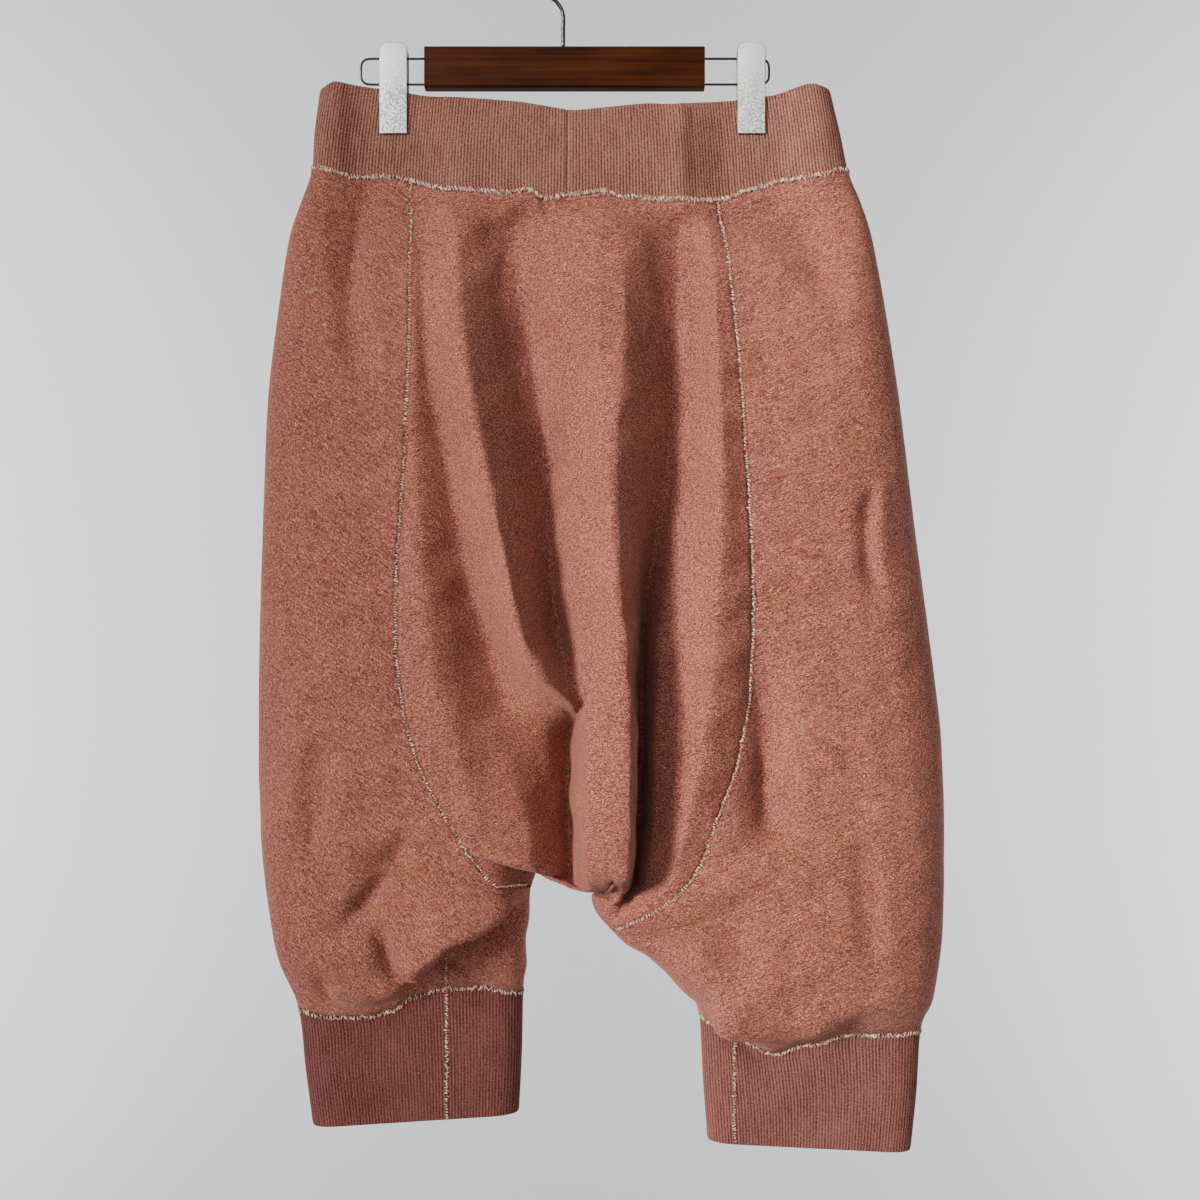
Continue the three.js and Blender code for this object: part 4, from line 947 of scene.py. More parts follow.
class Graph:
    """A material's nodes."""

    def __init__(self, name: str) -> None:
        """Starts an empty material."""
        self.material = bpy.data.materials.new(name)
        self.material.use_nodes = True
        self.tree = self.material.node_tree
        self.tree.nodes.clear()

    def add(self, kind: str, settings: dict, inputs: dict) -> bpy.types.Node:
        """Adds a node.

        Args:
            kind: The node's type.
            settings: Its own settings, set first.
            inputs: A value or a Socket for each input, by name or number.

        Returns:
            The node.
        """
        node = self.tree.nodes.new(kind)
        for key, value in settings.items():
            setattr(node, key, value)
        for key, value in inputs.items():
            if isinstance(value, Socket):
                self.tree.links.new(value.link, node.inputs[key])
            else:
                node.inputs[key].default_value = value
        return node

    def node(self, kind: str, settings: dict, inputs: dict, output: int | str = 0) -> Socket:
        """Adds a node, as add() does, and gives one of its outputs."""
        return Socket(self, self.add(kind, settings, inputs).outputs[output])

    def on_cloth(self, scale: Place) -> Socket:
        """The place on the cut cloth, times a scale."""
        where = self.node("ShaderNodeUVMap", {"uv_map": CLOTH_UV}, {})
        return self.node("ShaderNodeMapping", {}, {"Vector": where, "Scale": scale})

    def in_object(self, scale: Place = (1, 1, 1), turn: float = 0.0) -> Socket:
        """The place in the object, in metres, turned about Y by some degrees and then times a scale."""
        where = self.node("ShaderNodeTexCoord", {}, {}, "Object")
        angle = (0.0, math.radians(turn), 0.0)
        turned = self.node("ShaderNodeMapping", {}, {"Vector": where, "Rotation": angle})
        return self.node("ShaderNodeMapping", {}, {"Vector": turned, "Scale": scale})

    def split(self, vector: Socket, axis: int) -> Socket:
        """One coordinate of a vector."""
        return self.node("ShaderNodeSeparateXYZ", {}, {0: vector}, axis)

    def noise(self, where: Socket, detail: float, rough: float, scale: float = 1.0) -> Socket:
        """Noise about 0.5."""
        inputs = {"Vector": where, "Scale": scale, "Detail": detail, "Roughness": rough}
        return self.node("ShaderNodeTexNoise", {}, inputs)

    def mix(self, share: Operand, a: Socket | Colour, b: Socket | Colour) -> Socket:
        """Two colours mixed, the second in full where the share is 1."""
        colours = [c if isinstance(c, Socket) else (*c, 1.0) for c in (a, b)]
        settings = {"data_type": "RGBA", "blend_type": "MIX", "clamp_factor": True}
        return self.node("ShaderNodeMix", settings, {0: share, 6: colours[0], 7: colours[1]}, 2)

    def bump(self, height: Socket, distance: float) -> Socket:
        """A normal from a height of 0 to 1, times a distance in metres."""
        return self.node("ShaderNodeBump", {}, {"Height": height, "Distance": distance})

    def surface(self, **inputs: Operand) -> bpy.types.Material:
        """Ends the material in one shader.

        Args:
            inputs: The shader's inputs, with the words of a name joined by underscores.

        Returns:
            The finished material.
        """
        named = {key.replace("_", " "): value for key, value in inputs.items()}
        shader = self.node("ShaderNodeBsdfPrincipled", {}, named)
        self.add("ShaderNodeOutputMaterial", {}, {"Surface": shader})
        return self.material


FUZZ_TINT = (0.95, 0.62, 0.52, 1.0)  # the light that brushed fibres throw back at a low angle


@dataclass(frozen=True)
class SweatCloth:
    """Brushed heather sweat cloth.

    Attributes:
        turn: How far the streaks of its yarn lean, in degrees.
        dark: Its dark fibres.
        light: Its light fibres.
        fleck: The palest of them.
        streaks: How close its streaks of yarn are, for each metre along X, Y and Z.
        grains: The same for its single fibres.
        flecks: The same for the palest ones.
        fleck_turn: How far these lean on from the streaks, in degrees.
        patches: The same for its slow changes of tone.
        nap: Height of its surface, in metres.
    """

    turn: float
    dark: Colour = (0.112, 0.025, 0.015)
    light: Colour = (0.380, 0.126, 0.088)
    fleck: Colour = (0.620, 0.340, 0.250)
    streaks: Place = (140, 600, 1000)
    grains: Place = (900, 1100, 2000)
    flecks: Place = (650, 1200, 2000)
    fleck_turn: float = -12.0
    patches: Place = (14, 14, 14)
    nap: float = 0.00045

    def material(self, name: str) -> bpy.types.Material:
        """The cloth's material."""
        g = Graph(name)
        streak = g.noise(g.in_object(self.streaks, self.turn), 3.0, 0.65)
        grain = g.noise(g.in_object(self.grains, self.turn), 3.0, 0.7)
        spot = g.noise(g.in_object(self.flecks, self.turn + self.fleck_turn), 1.0, 0.5)
        patch = g.noise(g.in_object(self.patches), 2.0, 0.5)
        tone = 0.42 + (streak - 0.5) * 3.4 + (grain - 0.5) * 7.6 + (patch - 0.5) * 0.7
        colour = g.mix(tone, self.dark, self.light)
        colour = g.mix(spot.band(0.57, 0.72) * 0.8, colour, self.fleck)
        return g.surface(
            Base_Color=colour,
            Roughness=0.86 + (grain - 0.5) * 0.2,
            Normal=g.bump(streak * 0.4 + grain * 0.6, self.nap),
            Sheen_Weight=0.18,
            Sheen_Roughness=0.45,
            Sheen_Tint=FUZZ_TINT,
            Specular_IOR_Level=0.15,
        )


@dataclass(frozen=True)
class RibKnit:
    """Rib knit. Across the cut cloth one rib is one unit, and down it one metre is one unit.

    Attributes:
        groove: The tone between its ribs, darker than their tops as painted shade in the grooves.
        rib: The tone on top of them.
        fleck: Its palest fibres.
        relief: Height of its ribs and loops on top of the mesh, in metres.
    """

    groove: Colour = (0.080, 0.023, 0.015)
    rib: Colour = (0.345, 0.148, 0.108)
    fleck: Colour = (0.62, 0.40, 0.32)
    relief: float = 0.0006

    def material(self, name: str) -> bpy.types.Material:
        """The rib knit's material."""
        g = Graph(name)
        wave = (g.split(g.on_cloth((1, 1, 1)), 0) * math.tau).cosine() * 0.5 + 0.5
        loops = g.noise(g.on_cloth((1.1, 900, 1)), 2.0, 0.6)
        yarn = g.noise(g.on_cloth((0.9, 60, 1)), 2.0, 0.6)
        grain = g.noise(g.on_cloth((2.3, 700, 1)), 2.0, 0.6)
        patch = g.noise(g.on_cloth((0.05, 22, 1)), 2.0, 0.5)
        tone = wave * 0.80 + (loops - 0.5) * 1.7 + (yarn - 0.5) * 0.8 + (patch - 0.5) * 0.5 + 0.08
        # The grooves' dark tone is painted shade; the ribs' tops are lighter.
        colour = g.mix(tone, self.groove, self.rib)
        colour = g.mix(grain.band(0.62, 0.78) * 0.6, colour, self.fleck)
        return g.surface(
            Base_Color=colour,
            Roughness=0.88 + (grain - 0.5) * 0.2,
            Normal=g.bump(loops * 0.6 + wave * 0.4, self.relief),
            Sheen_Weight=0.15,
            Sheen_Roughness=0.45,
            Sheen_Tint=FUZZ_TINT,
            Specular_IOR_Level=0.15,
        )


@dataclass(frozen=True)
class Thread:
    """Thick undyed cotton thread.

    Attributes:
        shade: Its tone where fibres lie in shadow.
        pale: Its clean tone.
        twist: Height of its strands, in metres.
    """

    shade: Colour = (0.34, 0.15, 0.09)
    pale: Colour = (1.00, 0.79, 0.58)
    twist: float = 0.0002

    def material(self, name: str) -> bpy.types.Material:
        """The thread's material."""
        g = Graph(name)
        tint = g.noise(g.in_object(), 2.0, 0.6, 420.0)
        strand = g.noise(g.in_object(), 2.0, 0.6, 3200.0)
        tone = tint.band(0.38, 0.62) * 0.9 + (strand - 0.5) * 0.6 + 0.05
        return g.surface(
            Base_Color=g.mix(tone, self.shade, self.pale),
            Roughness=0.8 + (strand - 0.5) * 0.2,
            Normal=g.bump(strand, self.twist),
            Sheen_Weight=0.2,
            Specular_IOR_Level=0.2,
        )


@dataclass(frozen=True)
class DarkWood:
    """Dark stained and lacquered wood, with its grain along X.

    Attributes:
        dark: The stain in its grain and pores.
        light: Between them.
        relief: Height of its grain, in metres.
    """

    dark: Colour = (0.017, 0.0038, 0.0012)
    light: Colour = (0.074, 0.021, 0.0060)
    relief: float = 0.00015

    def material(self, name: str) -> bpy.types.Material:
        """The wood's material."""
        g = Graph(name)
        grain = g.noise(g.in_object((9, 300, 420)), 5.0, 0.6)
        cloud = g.noise(g.in_object((16, 40, 60)), 2.0, 0.5)
        pores = g.noise(g.in_object((60, 900, 1500)), 2.0, 0.6)
        tone = 0.45 + (grain - 0.5) * 1.7 + (cloud - 0.5) * 1.2
        colour = g.mix(tone, self.dark, self.light)
        return g.surface(
            Base_Color=g.mix(pores.band(0.60, 0.75) * 0.5, colour, self.dark),
            Roughness=0.6 + (grain - 0.5) * 0.3,
            Normal=g.bump(grain, self.relief),
            Specular_IOR_Level=0.05,
        )


@dataclass(frozen=True)
class BrightMetal:
    """Plated metal, more or less worn.

    Attributes:
        colour: Where it is clean and faces up.
        stain: Where it is worn.
        under: The tone of its undersides, times the colour. This is painted shade: the
            undersides are darker by where the light falls.
        painted_edge_shade: The tone of its edges and sides, times the colour. This is a painted dark
            edge, standing in for shade and dark reflections there.
        roughness: Where it is clean.
        wear: How much of it is worn, 0 to 1.
        metal: How far it is bare metal, 0 to 1.
        worn_from: The height in metres up to which the wear is in full.
        worn_fade: How far above that it gets thinner.
        worn_above: The share of the wear that is left from there on.
        relief: Height of its brushing and wear, in metres.
    """

    colour: Colour
    stain: Colour
    under: float
    painted_edge_shade: float
    roughness: float
    wear: float
    metal: float = 1.0
    worn_from: float = -1.0
    worn_fade: float = 0.03
    worn_above: float = 0.25
    relief: float = 0.00008

    def material(self, name: str) -> bpy.types.Material:
        """The metal's material."""
        g = Graph(name)
        brushed = g.noise(g.in_object((900, 900, 60)), 3.0, 0.6)
        place = g.in_object()
        blotch = g.noise(place, 2.0, 0.6, 1000.0)
        above = g.split(place, 2).band(self.worn_from, self.worn_from + self.worn_fade)
        strength = 1 - above * (1 - self.worn_above)
        worn = blotch.band(0.46 - 0.06 * self.wear, 0.62) * self.wear * strength
        # Painted shade: undersides, edges and sides are darkened by their normals, standing in for shade and
        # dark reflections.
        normal = g.node("ShaderNodeTexCoord", {}, {}, "Normal")
        facing_up = g.split(normal, 2).band(-0.35, 0.8)
        edge = g.split(normal, 1).band(-0.99, -0.85)
        below = tuple(self.under * c for c in self.colour)
        beside = tuple(self.painted_edge_shade * c for c in self.colour)
        clean = g.mix(edge, g.mix(facing_up, below, self.colour), beside)
        return g.surface(
            Base_Color=g.mix(worn, clean, self.stain),
            Metallic=self.metal,
            Roughness=self.roughness + (brushed - 0.5) * 0.15 + worn * 0.2,
            Normal=g.bump(brushed + worn, self.relief),
        )


@dataclass(frozen=True)
class PalePaint:
    """The matt paint of the studio's wall and floor.

    Attributes:
        colour: Its usual tone.
        uneven: Its darkest tone, times that.
    """

    colour: Colour = (0.66, 0.67, 0.67)
    uneven: float = 0.97

    def material(self, name: str) -> bpy.types.Material:
        """The paint's material."""
        g = Graph(name)
        soft = g.noise(g.in_object(), 2.0, 0.5, 2.2)
        colour = g.mix(soft, tuple(self.uneven * c for c in self.colour), self.colour)
        return g.surface(Base_Color=colour, Roughness=0.9, Specular_IOR_Level=0.1)


def dress(piece: bpy.types.Object, material: bpy.types.Material) -> None:
    """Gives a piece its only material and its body.

    Args:
        piece: The piece.
        material: Its finish.
    """
    piece.data.materials.clear()
    piece.data.materials.append(material)
    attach(piece, "root")


@dataclass(frozen=True)
class Relief:
    """Small form on the cloth panels, in millimetres.

    Attributes:
        groove: How deep the cloth rolls in at a seam.
        groove_width: How far from the seam it does.
        pucker: Height of the gathers beside a seam.
        pucker_width: How far from the seam they reach.
        pucker_pitch: How far apart they are.
        slant: How far they slant.
        stray: How far they stray from that, in radians.
        stray_pitch: How slowly.
        swell: Height of each of the cloth's slow waves.
        waves: How many of them there are.
        wave_length: The shortest and the longest.
        seed: For their directions.
    """

    groove: float = 0.6
    groove_width: float = 1.8
    pucker: float = 0.45
    pucker_width: float = 9.0
    pucker_pitch: float = 12.0
    slant: float = 0.3
    stray: float = 2.5
    stray_pitch: float = 41.0
    swell: float = 0.28
    waves: int = 14
    wave_length: Span = (24.0, 70.0)
    seed: int = 21

    def height(self, points: Array, seam: Array, loose: Array) -> Array:
        """How far out each point moves.

        Args:
            points: The points.
            seam: How far each is from a seam.
            loose: 0 where a band holds the cloth, 1 where it hangs free.

        Returns:
            A height for each point.
        """
        rng = np.random.default_rng(self.seed)
        height = -self.groove * np.exp(-((seam / self.groove_width) ** 2))
        along = points[:, 2] + self.slant * points[:, 0]
        stray = self.stray * np.sin(along / self.stray_pitch)
        gathers = np.sin(along / self.pucker_pitch * math.tau + stray)
        height += self.pucker * gathers * np.exp(-((seam / self.pucker_width) ** 2))
        for _ in range(self.waves):
            way = unit(rng.normal(size=3)) * math.tau / rng.uniform(*self.wave_length)
            height += loose * self.swell * np.sin(points @ way + rng.uniform(0, math.tau))
        return height


@dataclass
class ClothPanels:
    """The two legs and the centre gusset, each a thin shell.

    Attributes:
        form: The cloth's outer face.
        step: Height of a cell.
        leg_cells: Cells across one layer of a leg.
        gusset_cells: Cells across one layer of half the gusset.
        below_gusset: How far from the gusset's seam a row below its end counts as.
        calm_side: How far from the side edge the slow waves are at their full height.
        calm_rows: How many rows from a band they are.
        relief: Small form that the panels get.
        seam_lines: The gusset seam's points and normals, kept for the stitches once a leg is built.
    """

    form: PantsForm
    step: float = 3.1
    leg_cells: int = 44
    gusset_cells: int = 50
    below_gusset: float = 40.0
    calm_side: float = 60.0
    calm_rows: float = 0.8
    relief: Relief = Relief()
    seam_lines: dict[tuple[Half, Layer], tuple[Array, Array]] = field(default_factory=dict)

    def _loose(self, t: Array) -> Array:
        """How loose rows t hang between the bands, as a column."""
        loose = ease((t - WAIST_ROW) / self.calm_rows) * ease((CUFF_ROW - t) / self.calm_rows)
        return loose[:, None]

    @staticmethod
    def _cloth_place(u: Array, points: Array) -> Array:
        """The place of rows of points on the cut cloth, in metres."""
        down = np.swapaxes(arc_lengths(np.swapaxes(points, 0, 1)), 0, 1)
        return np.stack([u, -down], axis=-1) * MM

    @staticmethod
    def _turned(half: Half, layer: Layer) -> bool:
        """Whether a grid's faces have to run the other way round to face out."""
        return (half is Half.LEFT) != (layer is Layer.FRONT)

    def _leg_grid(self, half: Half, layer: Layer) -> Grid:
        """One layer of a leg, from the side edge to the gusset's seam or the inner leg."""
        t = self.form.row_places(half, self.step)
        ends = (np.zeros_like(t), self.form.seam_share(half, t))
        shares = self.form.spread(half, layer, t, ends, self.leg_cells)
        points = self.form.points(half, layer, t, shares)
        across = arc_lengths(points)
        past_end = np.maximum(t - GUSSET_END[half], 0)[:, None]
        from_seam = across[:, -1:] - across + past_end * self.below_gusset
        loose = self._loose(t) * ease(across / self.calm_side)
        u = across if layer is Layer.FRONT else -across
        return Grid(points, self._cloth_place(u, points), from_seam, loose, self._turned(half, layer))

    def _gusset_grid(self, half: Half, layer: Layer) -> Grid:
        """One layer of half the gusset, from its seam to the centre line."""
        t = self.form.row_places(half, self.step)
        t = t[t <= GUSSET_END[half]]
        ends = (self.form.seam_share(half, t), np.ones_like(t))
        shares = self.form.spread(half, layer, t, ends, self.gusset_cells)
        points = self.form.points(half, layer, t, shares)
        across = arc_lengths(points)
        loose = self._loose(t) * np.ones_like(across)
        u = across - across[:, -1:] if half is Half.LEFT else across[:, -1:] - across
        return Grid(points, self._cloth_place(u, points), across, loose, self._turned(half, layer))

    def _shell(self, name: str, grids: list[Grid]) -> tuple[bpy.types.Object, Surface]:
        """Welds grids, adds the relief and thickens the sheet inwards.

        Args:
            name: The piece's name.
            grids: Its layers and halves.

        Returns:
            The piece, and its outer face.
        """
        surface = MeshMaker.weld(grids)
        seam = np.full(len(surface.points), np.inf)
        loose = np.zeros(len(surface.points))
        for grid, number in zip(grids, surface.numbers):
            np.minimum.at(seam, number.ravel(), grid.seam.ravel())
            loose[number.ravel()] = grid.loose.ravel()
        height = self.relief.height(surface.points, seam, loose)
        surface.points = surface.points + surface.normals * height[:, None]
        piece = MeshMaker.make(name, surface.points, surface.faces, surface.uvs)
        wall = piece.modifiers.new("wall", "SOLIDIFY")
        wall.thickness = BUILD.cloth_wall * MM
        wall.offset = -1.0
        wall.use_quality_normals = True
        return piece, surface

    def leg(self, half: Half, finish: SweatCloth) -> bpy.types.Object:
        """One leg, its seam lines kept for the stitches.

        Args:
            half: The garment's half.
            finish: Its cloth.

        Returns:
            The piece.
        """
        grids = [self._leg_grid(half, layer) for layer in Layer]
        piece, surface = self._shell(f"leg_{half.value}_cloth", grids)
        rows = int((self.form.row_places(half, self.step) <= GUSSET_END[half]).sum())
        for layer, number in zip(Layer, surface.numbers):
            edge = number[:rows, -1]
            self.seam_lines[half, layer] = (surface.points[edge], surface.normals[edge])
        dress(piece, finish.material(f"{piece.name}_finish"))
        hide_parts(f"leg_{half.value}")
        return piece

    def gusset(self, finish: SweatCloth) -> bpy.types.Object:
        """The deep centre piece, front and back.

        Args:
            finish: Its cloth.

        Returns:
            The piece.
        """
        grids = [self._gusset_grid(half, layer) for half in Half for layer in Layer]
        piece, _ = self._shell("gusset_cloth", grids)
        dress(piece, finish.material("gusset_cloth_finish"))
        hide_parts("gusset")
        return piece


class Station(NamedTuple):
    """One ring of a band's wall.

    row is its row on the outer face. inset is how far it lies inside that face, and up how far it is
    moved towards the free edge, both in millimetres. ribbed is 1 where the grooves are cut in from
    outside, 0 where there are none and -1 where they are cut in from inside.
    """

    row: int
    inset: float
    ribbed: float = 0.0
    up: float = 0.0


@dataclass(frozen=True)
class RibBand:
    """A tube of doubled rib knit, folded over at its free edge.

    Attributes:
        form: The cloth's outer face.
        name: The CAD node that it stands for.
        halves: Both for the waistband, one for a cuff.
        free: The row of the free edge.
        seam: The row that meets the cloth.
        ribs: Ribs round it.
        wall: Its thickness.
        per_rib: Columns for each rib.
        rows: Rows down the outer face.
        inner_step: The inner face has one row for so many of these.
        fold_steps: Rings round the fold at the free edge.
        samples: Points of the outer face for each half and layer, before they are spaced evenly.
    """

    form: PantsForm
    name: str
    halves: tuple[Half, ...]
    free: int
    seam: int
    ribs: int
    wall: float
    per_rib: int = 5
    rows: int = 22
    inner_step: int = 3
    fold_steps: int = 8
    samples: int = 260

    def rings(self, t: Array, columns: int) -> Array:
        """Rings round the tube, anticlockwise from above, with even columns.

        Args:
            t: Their rows.
            columns: Points in each.

        Returns:
            Rings by columns by 3.
        """
        share = (1 - np.cos(np.pi * np.linspace(0, 1, self.samples))) / 2
        share = np.broadcast_to(share, (len(t), self.samples))
        line = []
        for half in reversed(self.halves):
            front = self.form.points(half, Layer.FRONT, t, share)
            back = self.form.points(half, Layer.BACK, t, share)
            if half is Half.RIGHT:
                line += [front[:, ::-1][:, :-1], back[:, :-1]]
            else:
                line += [back[:, ::-1][:, :-1], front[:, :-1]]
        line.append(line[0][:, :1])
        ring = np.concatenate(line, axis=1)
        lengths = arc_lengths(ring)
        goals = lengths[:, -1:] * np.arange(columns) / columns
        parts = [
            [np.interp(g, m, r[:, k]) for k in range(3)] for g, m, r in zip(goals, lengths, ring)
        ]
        return np.moveaxis(np.array(parts), 1, 2)

    @staticmethod
    def ring_normals(rings: Array) -> Array:
        """The level way out of each ring."""
        along = np.roll(rings, -1, axis=1) - np.roll(rings, 1, axis=1)
        out = np.stack([along[..., 1], -along[..., 0], 0 * along[..., 0]], axis=-1)
        return unit(out)

    def stations(self) -> list[Station]:
        """The wall's rings: along the outer face, round the fold and back along the inner face."""
        last = self.rows - 1
        outer = [Station(k, 0.0, 1.0) for k in range(last)]
        fold = [
            Station(last, self.wall / 2 * (1 - math.cos(a)), math.cos(a), self.wall / 2 * (math.sin(a) - 1))
            for a in np.linspace(0, np.pi, self.fold_steps)
        ]
        inner = [Station(k, self.wall) for k in range(last - 1, 0, -self.inner_step)]
        return [*outer, *fold, *inner, Station(0, self.wall)]

    def build(self, finish: RibKnit) -> bpy.types.Object:
        """The band as one closed mesh.

        Args:
            finish: Its rib knit.

        Returns:
            The piece.
        """
        columns = self.per_rib * self.ribs
        rings = self.rings(np.linspace(self.seam, self.free, self.rows), columns)
        normals = self.ring_normals(rings)
        down = arc_lengths(np.swapaxes(rings, 0, 1)).T
        way = 1.0 if self.free < self.seam else -1.0
        across = np.arange(columns) / self.per_rib
        rib = BUILD.rib_depth * (1 - np.cos(math.tau * across)) / 2
        points, uvs = [], []
        for k, inset, ribbed, up in self.stations():
            ring = rings[k] - normals[k] * (inset + rib * ribbed)[:, None]
            seam_gap = BUILD.seam_gap / 2 if k == 0 else 0.0
            points.append(ring + np.array([0.0, 0.0, way * (up + seam_gap)]))
            uvs.append(np.stack([across, (down[k] + inset) * MM], axis=-1))
        points = np.array([*points, points[0]])
        uvs = np.array([*uvs, uvs[0]])
        points = np.concatenate([points, points[:, :1]], axis=1)
        uvs = np.concatenate([uvs, uvs[:, :1] + np.array([self.ribs, 0.0])], axis=1)
        blank = np.zeros(points.shape[:2])
        surface = MeshMaker.weld([Grid(points, uvs, blank, blank, way < 0)])
        piece = MeshMaker.make(f"{self.name}_rib", surface.points, surface.faces, surface.uvs)
        dress(piece, finish.material(f"{piece.name}_finish"))
        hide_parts(self.name)
        return piece

    def join_length(self) -> float:
        """How long the join with the cloth is, all round."""
        columns = 200
        ring = self.rings(np.array([float(self.seam)]), columns)[0]
        return np.linalg.norm(np.roll(ring, -1, axis=0) - ring, axis=1).sum()

    def join_rings(self, tall: float, count: int) -> tuple[Array, Array, Array]:
        """Two rings at the join with the cloth.

        Args:
            tall: How far apart they are.
            count: Points in each.

        Returns:
            The one at the join, the one on the band, and the first one's normals.
        """
        ends = self.form.section(self.halves[0], np.array([self.free, self.seam]))
        step = tall / np.ptp(ends[:, 1]) * (self.free - self.seam)
        rings = self.rings(np.array([self.seam, self.seam + step]), count)
        return rings[0], rings[1], self.ring_normals(rings)[0]


@dataclass(frozen=True)
class CrossStitch:
    """Short stitches across a seam, in millimetres. A pair holds the least and the most.

    Attributes:
        length: A stitch's length.
        pitch: From stitch to stitch.
        uneven: How far each is off that, times the pitch.
        lean: Its angle to the seam, in degrees.
        lean_spread: How much that varies.
        stretch: Its own length, times the length.
        long_share: How many are longer still.
        longer: How much longer they are.
        stray: How far they lie off the seam.
        lift: How high their ends are above the seam.
        radius: Half the thread's thickness.
        arch: How far the middle stands up from the ends.
    """

    length: float
    pitch: float = 1.8
    uneven: float = 0.25
    lean: float = 72.0
    lean_spread: float = 26.0
    stretch: Span = (0.7, 1.25)
    long_share: float = 0.12
    longer: float = 1.5
    stray: float = 0.3
    lift: float = 1.05
    radius: Span = (0.3, 0.52)
    arch: float = 0.45


@dataclass(frozen=True)
class JoinLoop:
    """Dense upright loops over a band's join, in millimetres. A pair holds the least and the most.

    Attributes:
        pitch: From loop to loop.
        tall: How far up the band they reach.
        rounds: How many times they go round.
        lean: How far their tops are off to one side, more or less.
        bottom: Where they start, times their height.
        top: Where they end, times their height.
        shift: How far they are off their even places.
        kept: The share of them that is there.
        lift: How high their ends are above the band.
        radius: Half the thread's thickness.
        arch: How far the middle stands up from the ends.
    """

    pitch: float
    tall: float = 3.8
    rounds: int = 2
    lean: float = 1.7
    bottom: Span = (-0.25, 0.25)
    top: Span = (0.65, 1.1)
    shift: Span = (-0.8, 0.8)
    kept: float = 0.85
    lift: float = 0.35
    radius: Span = (0.18, 0.3)
    arch: float = 0.35


class Stitching:
    """Many short thread strands, gathered into one mesh."""

    SIDES = 5
    STATIONS = 6
    TAPER = 0.55  # how much thinner a strand is at its ends

    def __init__(self, seed: int) -> None:
        """Starts with no strand."""
        self.rng = np.random.default_rng(seed)
        self.points: list[Array] = []
        self.faces: list[tuple[int, ...]] = []
        self.count = 0

    def strands(self, start: Array, end: Array, normal: Array, radius: Array, arch: float) -> None:
        """Adds a strand from each start to each end.

        Args:
            start: Where each dips into the cloth.
            end: Where each dips in again.
            normal: The way out of the cloth there.
            radius: Half each strand's thickness.
            arch: How far it stands up between its ends.
        """
        along = unit(end - start)
        aside = unit(np.cross(normal, along))
        up = np.cross(along, aside)
        turns = math.tau * np.arange(self.SIDES) / self.SIDES
        rings = []
        for k in np.linspace(-1, 1, self.STATIONS):
            middle = (start + end) / 2 + (end - start) * k / 2 + up * (arch * (1 - k * k))
            size = (radius * (1 - self.TAPER * k**4))[:, None]
            ring = [middle + (aside * math.cos(a) + up * math.sin(a)) * size for a in turns]
            rings.append(np.stack(ring, axis=1))
        self.points.append(np.stack(rings, axis=1).reshape(-1, 3))
        self._close(len(start))

    def _close(self, made: int) -> None:
        """Adds the faces of the strands made last."""
        n, per = self.SIDES, self.SIDES * self.STATIONS
        shape = [tuple(reversed(range(n))), tuple(range(per - n, per))]
        for i in range(self.STATIONS - 1):
            for j in range(n):
                a, b = i * n + j, i * n + (j + 1) % n
                shape.append((a, b, b + n, a + n))
        for k in range(made):
            base = self.count + k * per
            self.faces += [tuple(base + v for v in face) for face in shape]
        self.count += made * per

    def along_line(self, points: Array, normals: Array, stitch: CrossStitch) -> None:
        """Stitches across a seam, all along it.

        Args:
            points: The seam's line.
            normals: The way out of the cloth along it.
            stitch: What they are like.
        """
        lengths = arc_lengths(points)
        count = int(lengths[-1] / stitch.pitch)
        uneven = self.rng.uniform(-stitch.uneven, stitch.uneven, count)
        at = (np.arange(count) + 0.5 + uneven) * stitch.pitch

        def spaced(values: Array, places: Array) -> Array:
            """Values at places along the line."""
            return np.stack([np.interp(places, lengths, values[:, k]) for k in range(3)], axis=1)

        where = spaced(points, at)
        normal = unit(spaced(normals, at))
        half_millimetre_on = spaced(points, at + 0.5)
        along = unit(half_millimetre_on - where)
        aside = np.cross(normal, along)
        lean = np.radians(self.rng.normal(stitch.lean, stitch.lean_spread, count))
        way = along * np.cos(lean)[:, None] + aside * np.sin(lean)[:, None]
        long = stitch.length * self.rng.uniform(*stitch.stretch, count)
        long[self.rng.random(count) < stitch.long_share] *= stitch.longer
        stray = self.rng.normal(0, stitch.stray, count)[:, None]
        where = where + aside * stray + normal * stitch.lift
        half = way * (long / 2)[:, None]
        radius = self.rng.uniform(*stitch.radius, count)
        self.strands(where - half, where + half, normal, radius, stitch.arch)

    def round_band(self, band: RibBand, loop: JoinLoop) -> None:
        """Loops all round a band's join.

        Args:
            band: The band.
            loop: What they are like.
        """
        count = int(band.join_length() / loop.pitch)
        low, high, normal = band.join_rings(loop.tall, count)
        tangent = unit(np.roll(low, -1, axis=0) - np.roll(low, 1, axis=0))
        rise = high - low
        for _ in range(loop.rounds):
            lean = self.rng.normal(0, loop.lean, count)[:, None]
            bottom = self.rng.uniform(*loop.bottom, count)[:, None]
            top = self.rng.uniform(*loop.top, count)[:, None]
            shift = self.rng.uniform(*loop.shift, count)[:, None]
            keep = self.rng.random(count) < loop.kept
            start = low + rise * bottom + tangent * (shift - lean / 2) + normal * loop.lift
            end = low + rise * top + tangent * (shift + lean / 2) + normal * loop.lift
            radius = self.rng.uniform(*loop.radius, count)
            self.strands(start[keep], end[keep], normal[keep], radius[keep], loop.arch)

    def build(self, name: str, finish: Thread) -> bpy.types.Object:
        """The strands as one piece."""
        piece = MeshMaker.make(name, np.vstack(self.points), self.faces)
        dress(piece, finish.material(f"{name}_finish"))
        return piece


